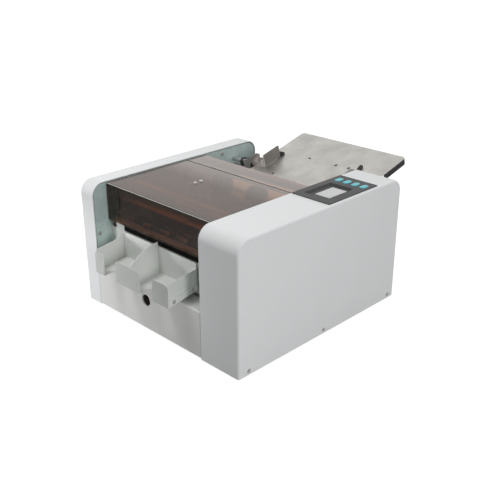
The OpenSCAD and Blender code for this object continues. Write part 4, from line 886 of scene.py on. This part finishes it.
bm = bmesh.new()
flat_face(bm, [(TABLE_LEFT, 0, 0), (TABLE_NARROW, 0, 0), (TABLE_NARROW, TABLE_STEP, 0), (TABLE_WIDE, TABLE_STEP, 0),
               (TABLE_WIDE, TABLE_LEN, 0), (TABLE_LEFT, TABLE_LEN, 0)])
round_corners(bm, [v for v in bm.verts if v.co.y > TABLE_LEN - 1], 8, 6)
step = [v for v in bm.verts if v.co.x > TABLE_WIDE - 1 and v.co.y < TABLE_STEP + 1]
side = next(e for e in step[0].link_edges if all(v.co.x > TABLE_WIDE - 1 for v in e.verts))
bmesh.ops.bisect_edges(bm, edges=[side], cuts=1)
split = next(v for v in bm.verts if v.co.x > TABLE_WIDE - 1 and TABLE_STEP + 1 < v.co.y < TABLE_LEN - 9)
split.co.y = TABLE_STEP + 8
rim = [e for e in bm.edges if max(v.co.y for v in e.verts) > 1
       and not all(v.co.y < TABLE_STEP + 9 and v.co.x > TABLE_NARROW - 1 for v in e.verts
                   if v.co.y > TABLE_STEP - 1)
       or all(abs(v.co.x - TABLE_NARROW) < 0.1 for v in e.verts)]
sweep_edges(bm, rim, (0, 0, -TABLE_RIM))
fold_edges(bm, [e for e in rim if e.is_valid and len(e.link_faces) == 2], 1.6, 4)
for x in HOLES_X:
    pierce(bm, (x, HOLES_S - 4, 0), (0, 0, 1), (0, 1, 0), 2, (4, 4), cuts=3)
table = make_piece("paper_table", bm, stainless, (20, 150, 150), place=on_table)
finish(table, 1.2, 0.2)
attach(table, "casing")
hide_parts("feed_table")

# Black strip over the right rim's outer side, and black plugs in the table's holes
RIM_STRIP_X = (TABLE_WIDE + 0.05, TABLE_WIDE + 0.6)
PLUGS = (*zip(HOLES_X, (175.3, 176.2, 177.5)), (-36.3, 98.7))
PLUG_PROFILE = ((0, 0.9), (1.6, 0.8), (2.9, 0.1), (2.9, 0.05), (0, 0.05))
bm = bmesh.new()
plate(bm, (RIM_STRIP_X[0], TABLE_STEP + 8.5, -TABLE_RIM), (RIM_STRIP_X[1], TABLE_LEN - 8, -0.6), 0.25)
for x, along in PLUGS:
    turned(bm, PLUG_PROFILE, 24, Matrix.Translation((x, along, 0)))
rim_strip = make_piece("table_rim_strip", bm, black_plastic, place=on_table)
finish(rim_strip)
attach(rim_strip, "casing")

# Left guide: wing and side plate bent from one sheet, on a block that slides on the rod
guide_steel = metal("guide_steel", (0.27, 0.25, 0.23), 0.38, (1, 0.05, 0.05), 260.0, 0.25, 0.08, (22.0, 0.12), 0.4,
                    metallic=0.6)
GUIDE_X = -67
GUIDE_S, GUIDE_L, GUIDE_H = 108.7, 46.6, 26
LIFT = 0.8
WING_SHEEN_COLOUR = (0.72, 0.66, 0.63, 1)
BLOCK_X = (-127, -109)
ROD_S, ROD_H = GUIDE_S + 8, -6
# Painted sheen: the wing, in front of the bend, is tinted a lighter pinkish grey than the side plate bent from the
# same sheet
tree = guide_steel.node_tree
where = object_axes(tree)
along = maths(tree, "ADD", maths(tree, "MULTIPLY", where[1], math.cos(TABLE_TILT)),
              maths(tree, "MULTIPLY", where[2], math.sin(TABLE_TILT)))
bend_at = to_frame @ on_table @ Vector((0, GUIDE_S + 1.8, 0))
bend_at = bend_at.y * math.cos(TABLE_TILT) + bend_at.z * math.sin(TABLE_TILT)
tint(tree, ranged(tree, along, bend_at, bend_at + 0.0006, 1.0, 0.0), WING_SHEEN_COLOUR)
bm = bmesh.new()
wing = [bm.verts.new((x, GUIDE_S, h)) for x, h in [
    (BLOCK_X[0], ROD_H - 8), (BLOCK_X[1], ROD_H - 8), (BLOCK_X[1], LIFT), (GUIDE_X - 9, LIFT), (GUIDE_X - 9, 3),
    (GUIDE_X - 9, 16), (GUIDE_X - 9, GUIDE_H + 2), (GUIDE_X - 16, GUIDE_H + 2.6), (BLOCK_X[0] + 11, 6),
    (BLOCK_X[0], 4)]]
bm.faces.new(wing)
near = [bm.verts.new((GUIDE_X - 3, GUIDE_S, h)) for h in (LIFT, 3, 16, GUIDE_H - 5)]
edge = [bm.verts.new((GUIDE_X, GUIDE_S, h)) for h in (LIFT, 3, 16, GUIDE_H - 3, GUIDE_H)]
shoulder = bm.verts.new((GUIDE_X - 9, GUIDE_S, GUIDE_H - 5))
bm.faces.new([wing[3], near[0], near[1], wing[4]])
bm.faces.new([wing[5], near[2], near[3], shoulder])
for i in range(3):
    bm.faces.new([near[i], edge[i], edge[i + 1], near[i + 1]])
far = [bm.verts.new((GUIDE_X, GUIDE_S + GUIDE_L, h)) for h in (LIFT, GUIDE_H)]
bm.faces.new([edge[0], far[0], far[1], edge[4], edge[3], edge[2], edge[1]])
bend = [e for e in edges_at(bm, 0, GUIDE_X) if len(e.link_faces) == 2]
round_corners(bm, [wing[7], wing[8], far[1]], 2.5, 5)
fold_edges(bm, bend, 1.8, 4)
guide_sheet = make_piece("left_guide_sheet", bm, guide_steel, (-90, 160, 225), place=on_table)
finish(guide_sheet, 1.5, 0.25)
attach(guide_sheet, "paper_guide")
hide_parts("left_guide")
bm = bmesh.new()
plate(bm, (BLOCK_X[0], GUIDE_S + 1.5, ROD_H - 8), (BLOCK_X[1], ROD_S + 8, ROD_H + 8), 1.2, 3)
guide_block = make_piece("left_guide_block", bm, black_plastic, place=on_table)
finish(guide_block)
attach(guide_block, "paper_guide")

# White pad in the guide's bend, seen through the window of the wing: a painted highlight that stands for the light on
# the guide's bright front flange
highlight_white = coated("highlight_white", (0.80, 0.80, 0.77), 0.35, 600.0, 0.05, (40.0, 0.03), (0.85, 0.85, 0.83), 0.3, 0.0)
bm = bmesh.new()
plate(bm, (GUIDE_X - 8.6, GUIDE_S - 1.0, 3.3), (GUIDE_X - 3.4, GUIDE_S + 9, 15.7), 0.5, 3)
highlight_pad = make_piece("guide_highlight_pad", bm, highlight_white, place=on_table)
finish(highlight_pad)
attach(highlight_pad, "paper_guide")

# Rubber blocks behind the guides, wedge-shaped and just clear of the table


def guide_tip(name, x, width, outline, body, node):
    bm = bmesh.new()
    side = flat_face(bm, [(x, s, h) for s, h in outline])
    made = bmesh.ops.extrude_face_region(bm, geom=[side])["geom"]
    bmesh.ops.translate(bm, verts=verts_in(made), vec=(width, 0, 0))
    fold_edges(bm, list(bm.edges), 0.5, 3)
    tip = make_piece(name, bm, rubber, place=on_table)
    finish(tip)
    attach(tip, body)
    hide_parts(node)


end = GUIDE_S + GUIDE_L
guide_tip("left_tip", GUIDE_X - 10, 10, [(end, LIFT), (end + 14, LIFT), (end + 14, 3), (end + 4, 9), (end, 9)],
          "paper_guide", "left_guide_tip")
RIGHT_GUIDE_X, RIGHT_GUIDE_W = 111, 20
RIGHT_GUIDE_S = (GUIDE_S + 6, GUIDE_S + 69)
end = RIGHT_GUIDE_S[1]
guide_tip("right_tip", RIGHT_GUIDE_X - 7, 7, [(end, LIFT), (end + 12, LIFT), (end + 12, 5.5), (end, 1.9)],
          "casing", "right_guide_tip")

# Clamping knob: a moulded nut with eight flutes and a stepped hub, drawn by its sections:
# way along the rod, radius and depth of the flutes
ROD_AT = on_table @ Vector((0, ROD_S, ROD_H))
FLUTES = 8
KNOB_X = BLOCK_X[0] - 0.3
bm = bmesh.new()
sections = ((0.0, 6.4, 0.0), (0.0, 8.2, 0.5), (-1.0, 9.0, 1.0), (-8.6, 9.0, 1.0), (-9.6, 8.2, 0.6), (-9.6, 6.4, 0.0),
            (-12.0, 6.2, 0.0), (-12.0, 4.1, 0.0))
loops = []
for dx, r, flute in sections:
    ring = bmesh.ops.create_circle(bm, segments=96, radius=1.0, cap_ends=False)["verts"]
    for v in ring:
        turn = math.atan2(v.co.y, v.co.x)
        reach = r - flute * max(0.0, math.cos(FLUTES * turn)) ** 3 * 0.9
        v.co = Vector((KNOB_X + dx, ROD_AT.y + reach * math.cos(turn), ROD_AT.z + reach * math.sin(turn)))
    loops.append(list({e for v in ring for e in v.link_edges}))
for a, b in zip(loops, loops[1:]):
    bmesh.ops.bridge_loops(bm, edges=a + b)
bore = sweep_edges(bm, loops[-1], (12, 0, 0))
bmesh.ops.bridge_loops(bm, edges=bore + loops[0])
knob = make_piece("clamp_nut", bm, black_plastic)
finish(knob, soft=0.2)
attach(knob, "clamp_knob")
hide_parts("guide_knob")

# Right guide: a low angle of the same sheet beside the cheek, screwed to the table
bm = bmesh.new()
s0, s1 = RIGHT_GUIDE_S
x0, x1 = RIGHT_GUIDE_X - RIGHT_GUIDE_W, RIGHT_GUIDE_X
corners = [bm.verts.new(p) for p in ((x0, s0, 0.15), (x1, s0, 0.15), (x1, s1, 0.15), (x0, s1, 0.15), (x1, s1, 2.4),
                                     (x1, s0, 9))]
bm.faces.new(corners[:4])
bm.faces.new([corners[1], corners[2], corners[4], corners[5]])
bend = [e for e in bm.edges if len(e.link_faces) == 2]
round_corners(bm, [corners[0], corners[3]], 4, 5)
fold_edges(bm, bend, 1.6, 4)
angle = make_piece("right_guide_angle", bm, guide_steel, (85, 181, 240), place=on_table)
finish(angle, 1.5, 0.25, side=1.0)
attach(angle, "casing")
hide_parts("right_guide")

# -------- shafts, rollers and blades
# Turned steel shafts in bronze bushes, rubber tyres, ground disc blades and the chopping
# knife, all seen through the smoked hood.

turned_steel = metal("turned_steel", (0.62, 0.62, 0.61), 0.30, (1, 0.02, 0.02), 500.0, 0.14, 0.10, (20.0, 0.05))
tool_steel = metal("tool_steel", (0.40, 0.41, 0.42), 0.33, (0.05, 1, 1), 300.0, 0.16, 0.10, (25.0, 0.07))
bronze = metal("bronze", (0.50, 0.34, 0.17), 0.40, (1, 1, 1), 400.0, 0.10, 0.10, (60.0, 0.10), 0.5, (0.8, 0.6, 0.35))
motor_paint = coated("motor_paint", (0.045, 0.047, 0.05), 0.40, 700.0, 0.1, (20.0, 0.06), (0.2, 0.2, 0.2), 0.5, 0.0)
pad_cork = coated("pad_cork", (0.10, 0.055, 0.035), 0.75, 300.0, 0.5, (120.0, 0.2), (0.2, 0.12, 0.08), 0.4, 0.3)
dress(turned_steel, "feed_shaft", "slitter_upper_shaft", "slitter_lower_shaft", "delivery_upper_shaft",
      "delivery_lower_shaft", "knife_shaft", "motor_pulley")
dress(tool_steel, "slitter_upper_blades", "slitter_lower_blades", "knife_bed", "knife_carriage")
dress(bronze, "shaft_bearings")
dress(motor_paint, "motors")
dress(rubber, "feed_rollers", "delivery_upper_rollers", "delivery_lower_rollers", "drive_belts")
dress(pad_cork, "separator_pad")

# -------- rear side
# Painted rear panel with its vents, the appliance inlet and the rocker switch.

dress(powder_coat, "rear_panel")
dress(black_plastic, "power_inlet", "power_switch")

# -------- floor, light and background
# Pale floor under an even sky that is a little stronger from the rear, with a low lamp and a
# high one at the front left and a wide one at the right. The lamps show in no reflection.


def viewed(tree):
    """Masks of the camera's own rays, and of these with the rays through glass and off gloss."""
    ray = put(tree, "LightPath").outputs
    return ray["Is Camera Ray"], maths(tree, "MAXIMUM", ray["Is Camera Ray"], maths(
        tree, "MAXIMUM", ray["Is Glossy Ray"], ray["Is Transmission Ray"]))


FLOOR_GREY = 0.35
FLOOR_SEEN, FLOOR_MIRRORED = 0.9, 0.04
bm = bmesh.new()
bmesh.ops.create_circle(bm, segments=96, radius=6.0, cap_ends=True)
mesh = bpy.data.meshes.new("floor")
bm.to_mesh(mesh)
bm.free()
floor = bpy.data.objects.new("floor", mesh)
scene.collection.objects.link(floor)
material, tree, shader = new_material("floor")
tree.nodes.remove(shader)
by_camera, direct = viewed(tree)
matt = put(tree, "BsdfDiffuse", {"Color": (FLOOR_GREY, FLOOR_GREY, FLOOR_GREY, 1)}).outputs[0]
shown = maths(tree, "MAXIMUM", maths(tree, "MULTIPLY", by_camera, FLOOR_SEEN),
              maths(tree, "MULTIPLY", direct, FLOOR_MIRRORED))
glow = put(tree, "Emission", {"Color": (1, 1, 1, 1), "Strength": shown}).outputs[0]
both = put(tree, "AddShader", {0: matt, 1: glow}).outputs[0]
fill(tree.nodes["Material Output"], {"Surface": both})
mesh.materials.append(material)

WORLD_LEVEL = 0.60
WORLD_SLOPES = (0.07, 0.43, -0.10)
world = bpy.data.worlds.new("studio")
scene.world = world
world.use_nodes = True
tree = world.node_tree
tree.nodes.clear()
way = put(tree, "SeparateXYZ", {0: put(tree, "TexCoord").outputs["Generated"]}).outputs
level = WORLD_LEVEL
for axis, slope in enumerate(WORLD_SLOPES):
    level = maths(tree, "ADD", maths(tree, "MULTIPLY", way[axis], slope), level)
level = maths(tree, "MAXIMUM", level, 0.0)
strength = put(tree, "Mix", {0: viewed(tree)[1], 2: level, 3: 1.0}, data_type="FLOAT").outputs[0]
sky = put(tree, "Background", {"Color": (1, 1, 1, 1), "Strength": strength}).outputs[0]
put(tree, "OutputWorld", {"Surface": sky})


def hang_lamp(name, kind, place, aim, watts, **settings):
    data = bpy.data.lights.new(name, kind)
    data.energy = watts
    for key, value in settings.items():
        setattr(data, key, value)
    lamp = bpy.data.objects.new(name, data)
    scene.collection.objects.link(lamp)
    lamp.location = place
    lamp.rotation_euler = (Vector(aim) - Vector(place)).to_track_quat("-Z", "Y").to_euler()
    lamp.visible_glossy = False
    lamp.visible_transmission = False


LOW_LEFT_WATTS, RIGHT_WATTS, TOP_WATTS = 4.3, 17.5, 5.6
hang_lamp("low_left_lamp", "SPOT", (-0.32, -0.65, 0.10), (-0.165, -0.23, 0.065), LOW_LEFT_WATTS,
          spot_size=math.radians(64), spot_blend=1.0, shadow_soft_size=0.05)
hang_lamp("right_lamp", "AREA", (2.30, -0.72, 0.95), (0.0, 0.0, 0.15), RIGHT_WATTS, shape="DISK", size=0.7)
hang_lamp("top_lamp", "AREA", (-0.32, -0.62, 1.25), (-0.03, -0.20, 0.12), TOP_WATTS, shape="DISK", size=0.4)
